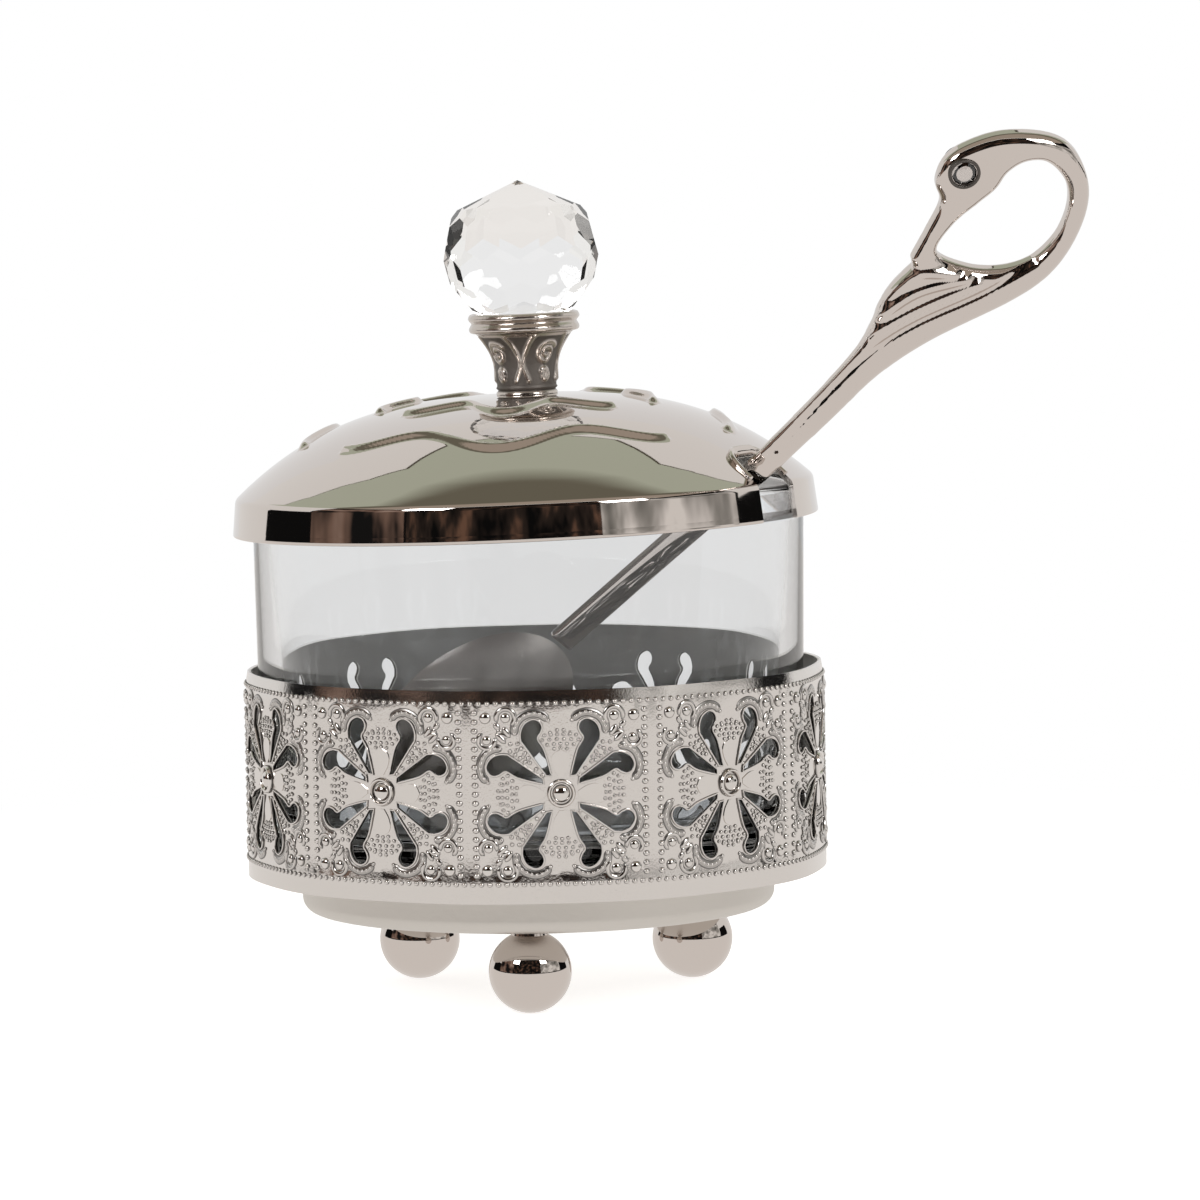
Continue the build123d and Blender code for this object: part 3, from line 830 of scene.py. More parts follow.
class PiercedBand(Assembly):
    """Band of ten pierced panels, each a rosette of eight petal openings."""

    body = Body.STAND

    def build(self, sizes: BandSizes) -> None:
        """Adds the sheet and everything raised on it.

        Args:
            sizes: Sizes of the band.
        """
        self.sizes = sizes
        self.half = pi * sizes.radius / sizes.panels
        self.middle = (sizes.lower_beads + sizes.upper_beads) / 2
        sheet = self._sheet()
        # The sheet's inner face is rougher and takes a paler painted light colour.
        self.place(sheet, "band_sheet", GRAINED, replaces=["filigree_band"], crease=35, hollow=self._inside)
        raised = {"band_wires": self._wires(), "band_beads": self._beads(), "band_scrolls": self._scrolls()}
        for name, template in raised.items():
            # Each raised piece gets painted shade at its foot, where it meets the sheet.
            self.place(self._round(template), name, FILIGREE, crease=50, hollow=self._painted_foot_shade)
        self.place(self._round(self._leaves()), "band_leaves", FILIGREE, crease=50)

    def _wrap(self, panel: int, u: float, v: float, w: float) -> Vector:
        """Place on the band of a point of the flat panel.

        Args:
            panel: Number of the panel.
            u: Distance to the right of the panel's middle.
            v: Distance above it.
            w: Distance out of the sheet.

        Returns:
            The place.
        """
        off = u / self.sizes.radius
        way = flat_way(self.sizes.first_turn + panel * 360 / self.sizes.panels + degrees(off))
        return way * (self._skin(off, v) + w) + Vector((0, 0, self.middle + v))

    def _skin(self, off: float, v: float) -> float:
        """Radius of the sheet's outer face: panels are a little hollow, the rim leans in and the foot flares.

        Args:
            off: Angle from a panel's middle, in radians.
            v: Distance above the panel's middle.

        Returns:
            The radius.
        """
        sizes = self.sizes
        over = max(0.0, v - (sizes.upper_beads - self.middle)) / (sizes.high - sizes.upper_beads)
        start, end = sizes.foot_flare_at
        under = max(0.0, min(1.0, (start - v) / (start - end)))
        hollow = sizes.hollowing * (1 + cos(off * sizes.panels)) / 2
        return sizes.radius - hollow - sizes.lean * over + sizes.foot_flare * under

    def _above(self, place: Vector) -> float:
        """Height of a point above the sheet's outer face."""
        off = atan2(place.x, -place.y) - radians(self.sizes.first_turn)
        return hypot(place.x, place.y) - self._skin(off, place.z - self.middle)

    def _inside(self, place: Vector) -> float:
        """1 for a point of the sheet's inner face, 0 for one of its outer face."""
        return 1.0 if self._above(place) < -self.sizes.sheet / 2 else 0.0

    def _painted_foot_shade(self, place: Vector) -> float:
        """Painted shade at a raised piece's foot: 1 for a point at the sheet, 0 from the painted shade's
        height on.
        """
        return max(0.0, min(1.0, 1 - self._above(place) / self.sizes.painted_shade_height))

    def _round(self, template: Mesh) -> Mesh:
        """Repeats a flat panel's template round the band.

        Args:
            template: Mesh of one panel, which is used up.

        Returns:
            The mesh of all panels.
        """
        flat = bpy.data.meshes.new("template")
        template.to_mesh(flat)
        template.free()
        count = len(flat.vertices)
        bm = bmesh.new()
        for panel in range(self.sizes.panels):
            bm.from_mesh(flat)
            bm.verts.ensure_lookup_table()
            for index in range(panel * count, (panel + 1) * count):
                vert = bm.verts[index]
                vert.co = self._wrap(panel, *vert.co)
        bpy.data.meshes.remove(flat)
        return bm

    def _petal_line(self) -> list[Vector]:
        """Edge of one petal opening, from the hub up the spoke's side, round the head and straight back."""
        line = smooth_through(self.sizes.petal, 4)
        end, root = line[-1], Vector(self.sizes.petal_root)
        line += [end.lerp(root, step / 6) for step in range(1, 7)]
        return line

    @staticmethod
    def _eight(line: Sequence[Vector]) -> list[list[Vector]]:
        """A line's eight copies by the square's symmetry."""
        copies = []
        for quarter in range(4):
            spin = Matrix.Rotation(quarter * pi / 2, 2)
            copies.append([spin @ point for point in line])
            copies.append([spin @ Vector((-point.x, point.y)) for point in reversed(line)])
        return copies

    def _sheet(self) -> Mesh:
        """The band's sheet with its openings."""
        sizes, half = self.sizes, self.half
        low, high = sizes.low - self.middle, sizes.high - self.middle
        edge = [Vector(corner) for corner in ((-half, low), (half, low), (half, high), (-half, high))]
        bm = drawn([edge, *self._eight(self._petal_line())])
        bmesh.ops.triangle_fill(bm, use_beauty=True, use_dissolve=False, edges=bm.edges[:])
        cuts = ceil(half / sizes.strip)
        for cut in range(-cuts + 1, cuts):
            score(bm, (half * cut / cuts, 0, 0), (1, 0, 0))
        levels = [low + 0.5, sizes.lower_beads - self.middle, sizes.upper_beads - self.middle, high - 0.5]
        levels += [*sizes.foot_flare_at, -9.0, -4.5, 0.0, 4.5, 9.0]
        for level in levels:
            score(bm, (0, level, 0), (0, 1, 0))
        band = self._round(bm)
        bmesh.ops.remove_doubles(band, verts=band.verts, dist=1e-3)
        bmesh.ops.recalc_face_normals(band, faces=band.faces)
        outward = sum(face.normal.dot(face.calc_center_median().xy.to_3d()) for face in band.faces)
        if outward < 0:
            bmesh.ops.reverse_faces(band, faces=band.faces)
        bmesh.ops.solidify(band, geom=band.faces[:], thickness=sizes.sheet)
        bmesh.ops.recalc_face_normals(band, faces=band.faces)
        return band

    @staticmethod
    def _bar(
        bm: Mesh, line: Sequence[Vector], wide: Callable[[float], float], high: Callable[[float], float],
        sides: int = 8, closed: bool = False,
    ) -> None:
        """Adds a raised bar to a flat template.

        Args:
            bm: The template.
            line: Flat middle line.
            wide: Half width at a share of the way along.
            high: Height at a share of the way along.
            sides: Sides of its oval.
            closed: Whether the line returns to its start.
        """
        tube(bm, [point.to_3d() for point in line], wide, high, Vector((0, 0, 1)), sides, closed)

    @staticmethod
    def _bump(bm: Mesh, u: float, v: float, wide: float, high: float, tall: float, segments: int = 8) -> None:
        """Adds an oval bump to a flat template.

        Args:
            bm: The template.
            u: Distance to the right.
            v: Distance up.
            wide: Half its width.
            high: Half its height on the panel.
            tall: How far it stands out.
            segments: Faces round it.
        """
        shape = Matrix.Translation((u, v, 0)) @ Matrix.Diagonal((wide, high, tall, 1))
        rows = max(4, segments // 2)
        bmesh.ops.create_uvsphere(bm, u_segments=segments, v_segments=rows, radius=1.0, matrix=shape)

    def _wires(self) -> Mesh:
        """Thin raised edge round every opening, and the hub's ring."""
        bm = bmesh.new()
        for line in self._eight(self._petal_line()):
            self._bar(bm, line, lambda share: 0.19, lambda share: 0.3, 6, closed=True)
        ring = [Vector((1.95 * cos(tau * step / 32), 1.95 * sin(tau * step / 32))) for step in range(32)]
        self._bar(bm, ring, lambda share: 0.34, lambda share: 0.7, 10, closed=True)
        for line in self._eight(self._head_line()):
            self._bar(bm, line, tapered(0.7), tapered(0.2), 8)
        return bm

    def _beads(self) -> Mesh:
        """Rows and columns of beads, and those round the petal heads, along the strips and on the fleurs."""
        bm = bmesh.new()
        sizes = self.sizes
        for side in (-1, 1):
            for row in range(19):
                self._bump(bm, side * (self.half - 1.3), (row - 9) * 1.42, *sizes.column_bead)
            edge = (sizes.upper_beads if side > 0 else sizes.lower_beads) - self.middle
            for number in range(22):
                self._bump(bm, (number - 10.5) * self.half / 11, edge, *sizes.row_bead)
        side_row = [Vector((6.75, 7.95)), Vector((4.9, 5.35))]
        spots = spaced(self._head_line(), 0.85)
        spots += spaced([side_row[0].lerp(side_row[1], step / 60) for step in range(61)], 0.95)
        for line in self._eight(spots):
            for point in line:
                self._bump(bm, point.x, point.y, *sizes.head_bead)
        for quarter in range(4):
            spin = Matrix.Rotation(quarter * pi / 2, 2)
            for number in range(6):
                point = spin @ Vector((7.9 - number, 7.9 - number))
                self._bump(bm, point.x, point.y, *sizes.head_bead)
            rows = ((10.0, 1.6, 4), (9.3, 2.5, 6), (8.55, 2.9, 6), (7.8, 2.1, 5), (7.15, 1.0, 3))
            for height, width, count in rows:
                for number in range(count):
                    share = 2 * number / (count - 1) - 1
                    sag = 0.45 * abs(share) ** 2 * (1 if height > 9.8 else 0.3)
                    point = spin @ Vector((width * share, height - sag))
                    self._bump(bm, point.x, point.y, *sizes.fleur_bead)
        return bm

    @staticmethod
    def _head_line() -> list[Vector]:
        """Middle of the raised border round a petal's head."""
        points = [(1.9, 11.5), (2.9, 12.4), (4.5, 12.7), (6.2, 12.0), (7.15, 10.6), (7.2, 9.2)]
        return smooth_through(points, 12)

    def _leaves(self) -> Mesh:
        """The hub's dome and the flat leaf on each spoke."""
        bm = bmesh.new()
        self._bump(bm, 0, 0, 1.45, 1.45, 0.95, 20)
        side = smooth_through([(0.35, 2.7), (1.15, 4.0), (1.45, 5.3), (1.1, 6.3), (0.0, 6.9)], 5)
        outline = side + [Vector((-point.x, point.y)) for point in reversed(side[:-1])]
        for quarter in range(4):
            spin = Matrix.Rotation(quarter * pi / 2, 2)
            leaf = prism([tuple(spin @ point) for point in outline], -0.1, 0.14)
            flat = bpy.data.meshes.new("leaf")
            leaf.to_mesh(flat)
            leaf.free()
            bm.from_mesh(flat)
            bpy.data.meshes.remove(flat)
        return bm

    def _scrolls(self) -> Mesh:
        """Domed bumps, scroll arcs and slender leaves in each corner."""
        bm = bmesh.new()
        for flip in ((1, 1), (-1, 1), (-1, -1), (1, -1)):
            mirror = Vector(flip)
            for u, v, radius in ((11.8, 12.0, 0.95), (8.6, 12.0, 0.8), (11.6, 8.5, 0.75), (9.6, 9.9, 0.5)):
                self._bump(bm, u * mirror.x, v * mirror.y, radius, radius, 0.55 * radius, 14)
            arcs = ((8.6, 12.0, 1.45, -30, 240), (11.6, 8.5, 1.3, -200, 60), (9.4, 8.2, 1.2, 60, 150))
            for u, v, radius, start, end in arcs:
                steps = 16
                line = []
                for step in range(steps + 1):
                    angle = radians(start + (end - start) * step / steps)
                    across, up = u + radius * cos(angle), v + radius * sin(angle)
                    line.append(Vector((across * mirror.x, up * mirror.y)))
                self._bar(bm, line, tapered(0.42), tapered(0.26), 8)
            leaves = (((9.0, 10.6), (7.9, 8.9)), ((10.2, 9.6), (8.6, 8.0)), ((10.4, 11.2), (9.6, 10.2)))
            for start, end in leaves:
                line = [Vector(start).lerp(Vector(end), step / 10) * mirror for step in range(11)]
                self._bar(bm, line, tapered(0.5, 0.5, 0.15), tapered(0.3, 0.3, 0.2), 8)
        return bm


# ---------------------------------------------------------------- glass
@dataclass
class GlassSizes:
    """Sizes of the bowl."""

    foot_radius: float = 44.2
    radius: float = 45.0
    wall: float = 2.0
    low_wall: float = 5.4
    floor: float = 7.6
    heel: float = 5.5
    rim_band: float = 4.0
    rim_wall: float = 2.2
    rim_round: float = 1.0
    rim_taper: float = 1.5
    cove: float = 3.5


class GlassBowl(Assembly):
    """Clear bowl with a thick floor."""

    body = Body.GLASS

    def build(self, sizes: GlassSizes) -> None:
        """Adds the bowl.

        Args:
            sizes: Sizes of the bowl.
        """
        low, high = cad_box("glass_bowl")
        inside = sizes.foot_radius - sizes.low_wall
        rim = sizes.radius - sizes.rim_wall
        band = high.z - sizes.rim_band
        profile = rounded(
            [
                (0, low.z, 0), (sizes.foot_radius, low.z, sizes.heel), (sizes.radius, band, 0),
                (sizes.radius, high.z, sizes.rim_round), (rim, high.z, sizes.rim_round),
                (rim, band, 0.8), (sizes.radius - sizes.wall, band - sizes.rim_taper, 2.0),
                (inside, low.z + sizes.floor, sizes.cove), (0, low.z + sizes.floor, 0),
            ],
            step=6,
        )
        middle = (low + high) / 2
        where = Matrix.Translation((middle.x, middle.y, 0))
        self.place(spun(profile, 256), "bowl", GLASS, where=where, replaces=["glass_bowl"], crease=60)


# ---------------------------------------------------------------- lid
@dataclass
class LidSizes:
    """Sizes of the lid. Heights are above the skirt's lower edge."""

    crease_radius: float = 47.2
    radius: float = 47.8
    skirt: float = 5.9
    rise: float = 15.1
    power: float = 2.9
    sheet: float = 0.8
    shoulder: float = 1.6
    tilt: float = 1.6
    shift: float = -1.0
    segments: int = 600
    wave_turn: float = -5.7
    wave_span: float = 45.5
    wave_half_width: float = 1.1
    wave_height: float = 0.95
    waves: tuple[Flat, ...] = ((33.8, 2.1), (20.3, 2.9))
    notch_turn: float = 59.6
    notch_width: float = 11.2
    notch_end: float = 41.0
    notch_corner: float = 3.0
    trim_gap: float = 0.15
    trim_width: float = 0.55
    trim_step: float = 0.8


class LidFrame:
    """Where the lid sits, a little tilted by the spoon's shaft."""

    def __init__(self, sizes: LidSizes) -> None:
        """
        Args:
            sizes: Sizes of the lid.
        """
        tilt = radians(sizes.tilt)
        seat = cad_box("lid_shell")[0].z + sizes.radius * sin(tilt)
        self.top = sizes.skirt + sizes.rise
        out, up = Vector((cos(tilt), 0, sin(tilt))), Vector((-sin(tilt), 0, cos(tilt)))
        self.matrix = local_frame(Vector((sizes.shift, 0, seat)), out, up)


class Lid(Assembly):
    """Domed lid with raised waves and a notch for the spoon."""

    body = Body.LID

    def build(self, sizes: LidSizes, seat: LidFrame) -> None:
        """Adds the lid.

        Args:
            sizes: Sizes of the lid.
            seat: Where the lid sits.
        """
        self.sizes = sizes
        shell, where = carved(self._shell(), self._notch_cutter()), seat.matrix
        # Its inner face is rougher and takes a paler painted light colour.
        self.place(
            shell, "lid_dome", PRESSED, where=where, replaces=["lid_shell"], crease=70, hollow=self._inside,
        )
        self.place(self._notch_trim(), "lid_notch_trim", NICKEL, where=where, crease=50)

    def _inside(self, place: Vector) -> float:
        """1 for a point of the sheet's inner face, 0 for one of its outer face."""
        radius, half = hypot(place.x, place.y), self.sizes.sheet / 2
        under = radius < self.sizes.crease_radius - half and place.z < self.dome(radius, half)
        return 1.0 if under else 0.0

    def dome(self, radius: float, inset: float = 0.0) -> float:
        """Height of the dome at a radius.

        Args:
            radius: Distance from the lid's axis.
            inset: How far under the outer face.

        Returns:
            Height above the skirt's lower edge.
        """
        sizes = self.sizes
        return sizes.skirt + sizes.rise * (1 - (radius / sizes.crease_radius) ** sizes.power) - inset

    def _shell(self) -> Mesh:
        """The spun sheet with its raised waves."""
        sizes = self.sizes
        reach = sizes.crease_radius
        stops = self._stops([(15.5, 1.1), (25.0, 0.32), (29.8, 0.8), (37.8, 0.32), (43.5, 0.7)])
        rim = rounded(
            [
                (43.5, self.dome(43.5), 0), (45.2, self.dome(45.2), 0), (reach, sizes.skirt, sizes.shoulder),
                (reach + 0.5, 1.3, 0.6), (sizes.radius, 0.5, 0.3), (sizes.radius, 0, 0.2),
                (sizes.radius - sizes.sheet, 0, 0.25),
                (reach - sizes.sheet, sizes.skirt - 0.6, 1.0), (43.0, self.dome(43.0, sizes.sheet), 0),
            ],
            step=8,
        )
        inner = [(radius, self.dome(radius, sizes.sheet)) for radius in range(40, -1, -4)]
        shell = spun([(radius, self.dome(radius)) for radius in stops] + rim[1:] + inner, sizes.segments)
        waves = Ridges(self._wave_lines(), sizes.wave_half_width, sizes.wave_height)
        for vert in shell.verts:
            radius = hypot(vert.co.x, vert.co.y)
            if 14 < radius < 39 and vert.co.z > self.dome(radius, sizes.sheet / 2):
                vert.co.z += waves.at(vert.co.x, vert.co.y)
        return shell

    @staticmethod
    def _stops(runs: Sequence[Flat]) -> list[float]:
        """Radii from the axis outwards.

        Args:
            runs: Where each run ends and how far apart its radii are.

        Returns:
            The radii.
        """
        stops = [0.0]
        for end, step in runs:
            count = ceil((end - stops[-1]) / step)
            start = stops[-1]
            stops += [start + (end - start) * number / count for number in range(1, count + 1)]
        return stops

    def _wave_lines(self) -> list[list[Flat]]:
        """Middle lines of the waves, an outer and an inner one on each of three sides."""
        sizes = self.sizes
        lines = []
        for middle, swing in sizes.waves:
            for side in range(3):
                line = []
                for step in range(401):
                    share = step / 400
                    radius = middle + swing * cos(4 * pi * share)
                    turn = sizes.wave_turn + side * 120 + sizes.wave_span * (2 * share - 1)
                    place = flat_way(turn) * radius
                    line.append((place.x, place.y))
                lines.append(line)
        return lines

    def _notch_frame(self) -> Matrix:
        """Takes x out along the notch's middle to the lid's frame."""
        return local_frame(Vector(), flat_way(self.sizes.notch_turn), Vector((0, 0, 1)))

    def _notch_line(self, grow: float) -> list[Flat]:
        """U-shaped outline of the notch in its own frame.

        Args:
            grow: How far outside the notch's edge.

        Returns:
            The points, from the right side's mouth to the left side's.
        """
        sizes = self.sizes
        half = sizes.notch_width / 2 + grow
        end = sizes.notch_end - grow
        far = sizes.radius + 8
        corner = sizes.notch_corner + grow
        return rounded([(far, -half, 0), (end, -half, corner), (end, half, corner), (far, half, 0)], step=8)

    def _notch_cutter(self) -> Mesh:
        """Solid that opens the notch."""
        cutter = prism(self._notch_line(0), -5, 30)
        bmesh.ops.transform(cutter, matrix=self._notch_frame(), verts=cutter.verts)
        return cutter

    def _notch_trim(self) -> Mesh:
        """Rolled edge round the notch, highest at its inner end."""
        sizes = self.sizes
        turned, path = self._notch_frame(), self._notch_line(sizes.trim_gap)
        line = []
        for start, end in zip(path, path[1:]):
            pieces = max(1, ceil((Vector(end) - Vector(start)).length / sizes.trim_step))
            line += [Vector(start).lerp(Vector(end), step / pieces) for step in range(pieces)]
        points = []
        for flat in line:
            place = turned @ flat.to_3d()
            radius = hypot(place.x, place.y)
            if radius < sizes.crease_radius - 0.6:
                points.append(Vector((place.x, place.y, self.dome(radius) + 0.1)))
        bm = bmesh.new()

        def collar(share: float) -> float:
            return 0.45 + 0.55 * max(0.0, sin(pi * min(1.0, share * 1.1)))

        tube(bm, points, lambda share: sizes.trim_width, collar, Vector((0, 0, 1)), 10)
        return bm


# ---------------------------------------------------------------- knob
@dataclass
class KnobSizes:
    """Sizes of the knob. Heights are above the dome's top."""

    shift: float = 1.2
    neck_radius: float = 5.0
    foot_height: float = 3.8
    groove: float = 0.35
    groove_height: float = 0.7
    neck_height: float = 10.0
    top_radius: float = 7.9
    cup_radius: float = 9.1
    cup_height: float = 3.3
    mouth_radius: float = 8.5
    seat_radius: float = 5.2
    seat_height: float = 1.2
    relief: float = 0.4
    scroll_radius: float = 6.0


class Knob(Assembly):
    """Crystal ball in a cup on a scrolled neck."""

    body = Body.LID

    def build(self, sizes: KnobSizes, seat: LidFrame) -> None:
        """Adds the neck and the cup, and dresses the crystal, washer and screw.

        Args:
            sizes: Sizes of the knob.
            seat: Where the lid sits.
        """
        self.sizes = sizes
        where = seat.matrix @ Matrix.Translation((sizes.shift, 0, seat.top))
        scrolls = self._scroll_field()

        # Patina and painted shade between the scrolls, none on their ridges.
        def hollow(place: Vector) -> float:
            turn = atan2(place.x, -place.y)
            if place.z < 0.6 or place.z > sizes.neck_height - 0.5:
                return 0.0
            return 0.75 * (1 - min(1.0, scrolls.at(turn * sizes.scroll_radius, place.z) / sizes.relief * 1.6))

        neck = self._neck(scrolls)
        self.place(neck, "neck", ANTIQUE, where=where, replaces=["knob_neck"], crease=60, hollow=hollow)
        self.place(self._cup(), "cup", ANTIQUE, where=where, replaces=["knob_cup"], crease=50)
        self.dress("knob_crystal", CRYSTAL)
        self.dress("knob_washer", STEEL)
        self.dress("knob_screw", STEEL)

    def _scroll_field(self) -> Ridges:
        """Scrolls round the neck, in distance round it and height."""
        lines = []
        around = tau * self.sizes.scroll_radius
        for side in range(-1, 5):
            middle = around * (side + 0.42) / 4 - around / 2
            for height, size, hand in ((6.7, 1.9, 1), (3.2, 1.1, -1)):
                spiral = []
                for step in range(61):
                    angle = step / 60 * 1.7 * tau
                    radius = size * (1 - 0.8 * step / 60)
                    across, up = hand * radius * cos(angle + 0.6), radius * sin(angle + 0.6)
                    spiral.append((middle + across, height + up))
                lines.append(spiral)
            for hand in (-1, 1):
                stem = ((2.6, 9.6), (3.6, 7.6), (4.4, 5.0), (3.4, 2.4))
                lines.append(smooth_through([(middle + hand * across, up) for across, up in stem], 14))
        return Ridges(lines, 0.62, self.sizes.relief)

    def _neck(self, scrolls: Ridges) -> Mesh:
        """The neck with its raised scrolls."""
        sizes = self.sizes
        profile: list[Flat] = [(0, 0), (sizes.neck_radius, 0), (sizes.neck_radius, 0.35)]
        profile += [(sizes.neck_radius - sizes.groove, sizes.groove_height), (sizes.neck_radius, 1.05)]
        steps = 44
        for step in range(steps + 1):
            height = 1.15 + (sizes.neck_height - 1.15) * step / steps
            rise = max(0.0, (height - sizes.foot_height) / (sizes.neck_height - sizes.foot_height))
            profile.append((sizes.neck_radius + (sizes.top_radius - sizes.neck_radius) * rise**2.1, height))
        profile.append((0, sizes.neck_height))
        neck = spun(profile, 220)
        for vert in neck.verts:
            radius = hypot(vert.co.x, vert.co.y)
            if radius > 4.5 and 1.2 < vert.co.z < sizes.neck_height - 0.3:
                along = atan2(vert.co.x, -vert.co.y) * sizes.scroll_radius
                lift = scrolls.at(along, vert.co.z) - 0.15
                vert.co.xy = vert.co.xy * (radius + lift) / radius
        return neck

    def _cup(self) -> Mesh:
        """The cup, two rounded rings with a groove between them."""
        sizes = self.sizes
        low, ring = sizes.neck_height, sizes.cup_height / 3
        top, wide, mouth = sizes.top_radius, sizes.cup_radius, sizes.mouth_radius
        lower = [(top - 0.1, 0), (top + 0.9, 0.25), (wide - 0.1, 0.8), (wide - 0.45, 1.45)]
        upper = [(wide - 0.5, 1.6), (wide - 0.02, 2.2), (wide - 0.2, 2.8), (mouth, 3)]
        profile = [(0, low)]
        for points in (lower, upper):
            profile += [tuple(p) for p in smooth_through([(x, low + ring * share) for x, share in points], 8)]
        seat = low + sizes.seat_height
        profile += [(mouth - 0.35, low + ring * 2.85), (sizes.seat_radius, seat), (0, seat)]
        return spun(profile, 160)


# ---------------------------------------------------------------- spoon
@dataclass
class SpoonSizes:
    """Sizes of the spoon. Its own frame has x up the shaft, y across it and z out of the flat face."""

    turn: float = 61.0
    rim_radius: float = 44.0
    lift: float = 4.7
    slip: float = 1.9
    heading: float = -17.4
    pitch: float = 40.5
    roll: float = -35.4
    shaft_half: float = 2.2
    shaft_end: float = -45.3
    thin: float = 1.3
    thick: float = 2.3
    swell: float = 30.0
    bowl_centre: float = -65.0
    bowl_length: float = 38.0
    bowl_width: float = 26.0
    bowl_depth: float = 5.5
    bowl_wall: float = 1.2
    voxel: float = 0.27
    edge_round: float = 2.3
    eye: Flat = (57.9, 15.6)
    eye_radius: float = 2.0
    setting_darkening: float = 0.9


class Spoon(Assembly):
    """Cast spoon whose handle is a swan with its beak on its own back."""

    body = Body.SPOON

    BELLY = [(14, -1.8), (24, -1.4), (34, -3.0), (47, -7.2), (54, -8.4), (60, -7.5), (66, -4.7), (70, -0.8)]
    NECK = [
        (72.2, 5.0), (71, 10), (66.4, 15.4), (61, 18.3), (57, 18.8), (53.4, 17.0), (51.6, 13.9), (47, 11.9),
    ]
    BEAK = (41.8, 10.0)
    WING = [(41, 8.7), (36.6, 8.5), (33, 7.6), (29, 5.6), (24, 4.1), (14, 3.0)]
    LOOP = [
        (45.4, 7.9), (50.5, 9.6), (55.5, 9.4), (59.3, 9.2), (62.4, 9.9), (65.6, 9.2), (67.9, 6.6),
        (67.7, 2.2), (65.5, -1.1), (62, -3.4), (58.5, -4.4), (54.5, -4.2), (50.4, -2.0), (47, 2.2),
    ]
    FEATHERS = 3
    FEATHER = [(33.5, 8.5), (40.5, 8.0), (45.0, 3.5)]
    FEATHER_STEP = [(-2.7, -1.5), (-1.9, -2.4), (0.6, -2.0)]
    WING_EDGE = [(4, 1), (17, 2.5), (27, 3), (35, 1.5), (46, -2.5), (55, -4.5)]
    STROKES = [((27, 1.5), -18, 15), ((42, -3), -12, 5.5), ((46.5, 10.5), 11, 7)]

    def build(self, sizes: SpoonSizes) -> None:
        """Adds the handle, the bowl and the eyes' settings.

        Args:
            sizes: Sizes of the spoon.
        """
        self.sizes = sizes
        where = self._frame()
        self.place(self._handle(), "spoon_handle", NICKEL, where=where, replaces=["spoon"], crease=180)
        self.place(self._bowl(), "spoon_bowl", BRUSHED, where=where, crease=50)
        for name, side in (("front", 1), ("back", -1)):
            setting = self._bezel(side)
            # The whole ring takes most of its finish's dark tone.
            self.place(
                setting, "eye_setting_" + name, NICKEL, where=where, crease=50,
                hollow=lambda place: sizes.setting_darkening,
            )
        for name in ("front", "back"):
            self.dress("eye_crystal_" + name, EYE)

    def _frame(self) -> Matrix:
        """Where the spoon lies, its shaft across the bowl's rim."""
        sizes = self.sizes
        heading, pitch, roll = radians(sizes.heading), radians(sizes.pitch), radians(sizes.roll)
        along = Vector((cos(pitch) * cos(heading), cos(pitch) * sin(heading), sin(pitch)))
        level = Vector((sin(heading), -cos(heading), 0))
        face = level * cos(roll) + level.cross(along) * sin(roll)
        top = cad_box("glass_bowl")[1].z
        rim = flat_way(sizes.turn) * sizes.rim_radius + Vector((0, 0, top + sizes.lift))
        return local_frame(rim - along * sizes.slip, along, face)

    def _half(self, x: float) -> float:
        """Half thickness at a distance along the shaft."""
        sizes = self.sizes
        share = max(0.0, min(1.0, x / sizes.swell))
        return sizes.thin + (sizes.thick - sizes.thin) * share

    def _outline(self) -> list[Vector]:
        """Outer edge of the handle, from the bowl round the swan and back."""
        sizes = self.sizes
        half = sizes.shaft_half
        near = sizes.shaft_end
        lower = [Vector((near + (0 - near) * step / 30, -half)) for step in range(30)]
        body = smooth_through([(0, -half)] + self.BELLY + self.NECK + [self.BEAK], 8)
        wing = smooth_through(self.WING + [(0, half)], 8)
        upper = [Vector((0 + near * step / 30, half)) for step in range(1, 31)]
        return lower + body + wing + upper

    def _handle(self) -> Mesh:
        """Shaft and swan, rounded and with its feathers."""
        sizes = self.sizes
        loops = (self._outline(), smooth_through(self.LOOP, 8, closed=True))
        bm = drawn(loops)
        bmesh.ops.remove_doubles(bm, verts=bm.verts, dist=1e-3)
        bmesh.ops.triangle_fill(bm, use_beauty=True, use_dissolve=False, edges=bm.edges[:])
        for cut in range(-14, 25):
            score(bm, (cut * 3.0, 0, 0), (1, 0, 0))
        base = bm.faces[:]
        top = bmesh.ops.extrude_face_region(bm, geom=base, use_keep_orig=True)["geom"]
        raised = {item for item in top if isinstance(item, bmesh.types.BMVert)}
        for vert in bm.verts:
            vert.co.z = self._half(vert.co.x) * (1 if vert in raised else -1)
        bmesh.ops.recalc_face_normals(bm, faces=bm.faces)
        bm = worked(bm, ("REMESH", {"mode": "VOXEL", "voxel_size": sizes.voxel, "use_smooth_shade": True}))
        edges = Ridges([spaced([*line, line[0]], 0.06) for line in loops], 1.0, 1.0)
        for vert in bm.verts:
            edge, near = edges.nearest(vert.co.x, vert.co.y)
            if near < sizes.voxel * 0.7:
                vert.co.xy = edge.xy
            round_off = sizes.edge_round if vert.co.x > 0 else 1.7
            if near < round_off:
                vert.co.z *= 0.25 + 0.75 * sqrt(1 - (1 - near / round_off) ** 2)
        bm = worked(bm, ("SMOOTH", {"factor": 0.5, "iterations": 14}))
        feathers = Ridges([smooth_through(line, 40) for line in self._feathers()], 1.15, 0.55)
        edge = Ridges([smooth_through(self.WING_EDGE, 40)], 0.9, -0.5)
        engraved = Ridges([smooth_through(line, 60) for line in self._strokes()], 0.35, -0.22)
        bm.normal_update()
        for vert in bm.verts:
            x, y, _ = vert.co
            facing = abs(vert.normal.z)
            if x < 2 or facing < 0.3:
                continue
            lift = (feathers.at(x, y) + edge.at(x, y) + engraved.at(x, y)) * facing
            vert.co.z += lift if vert.normal.z > 0 else -lift
        return bm

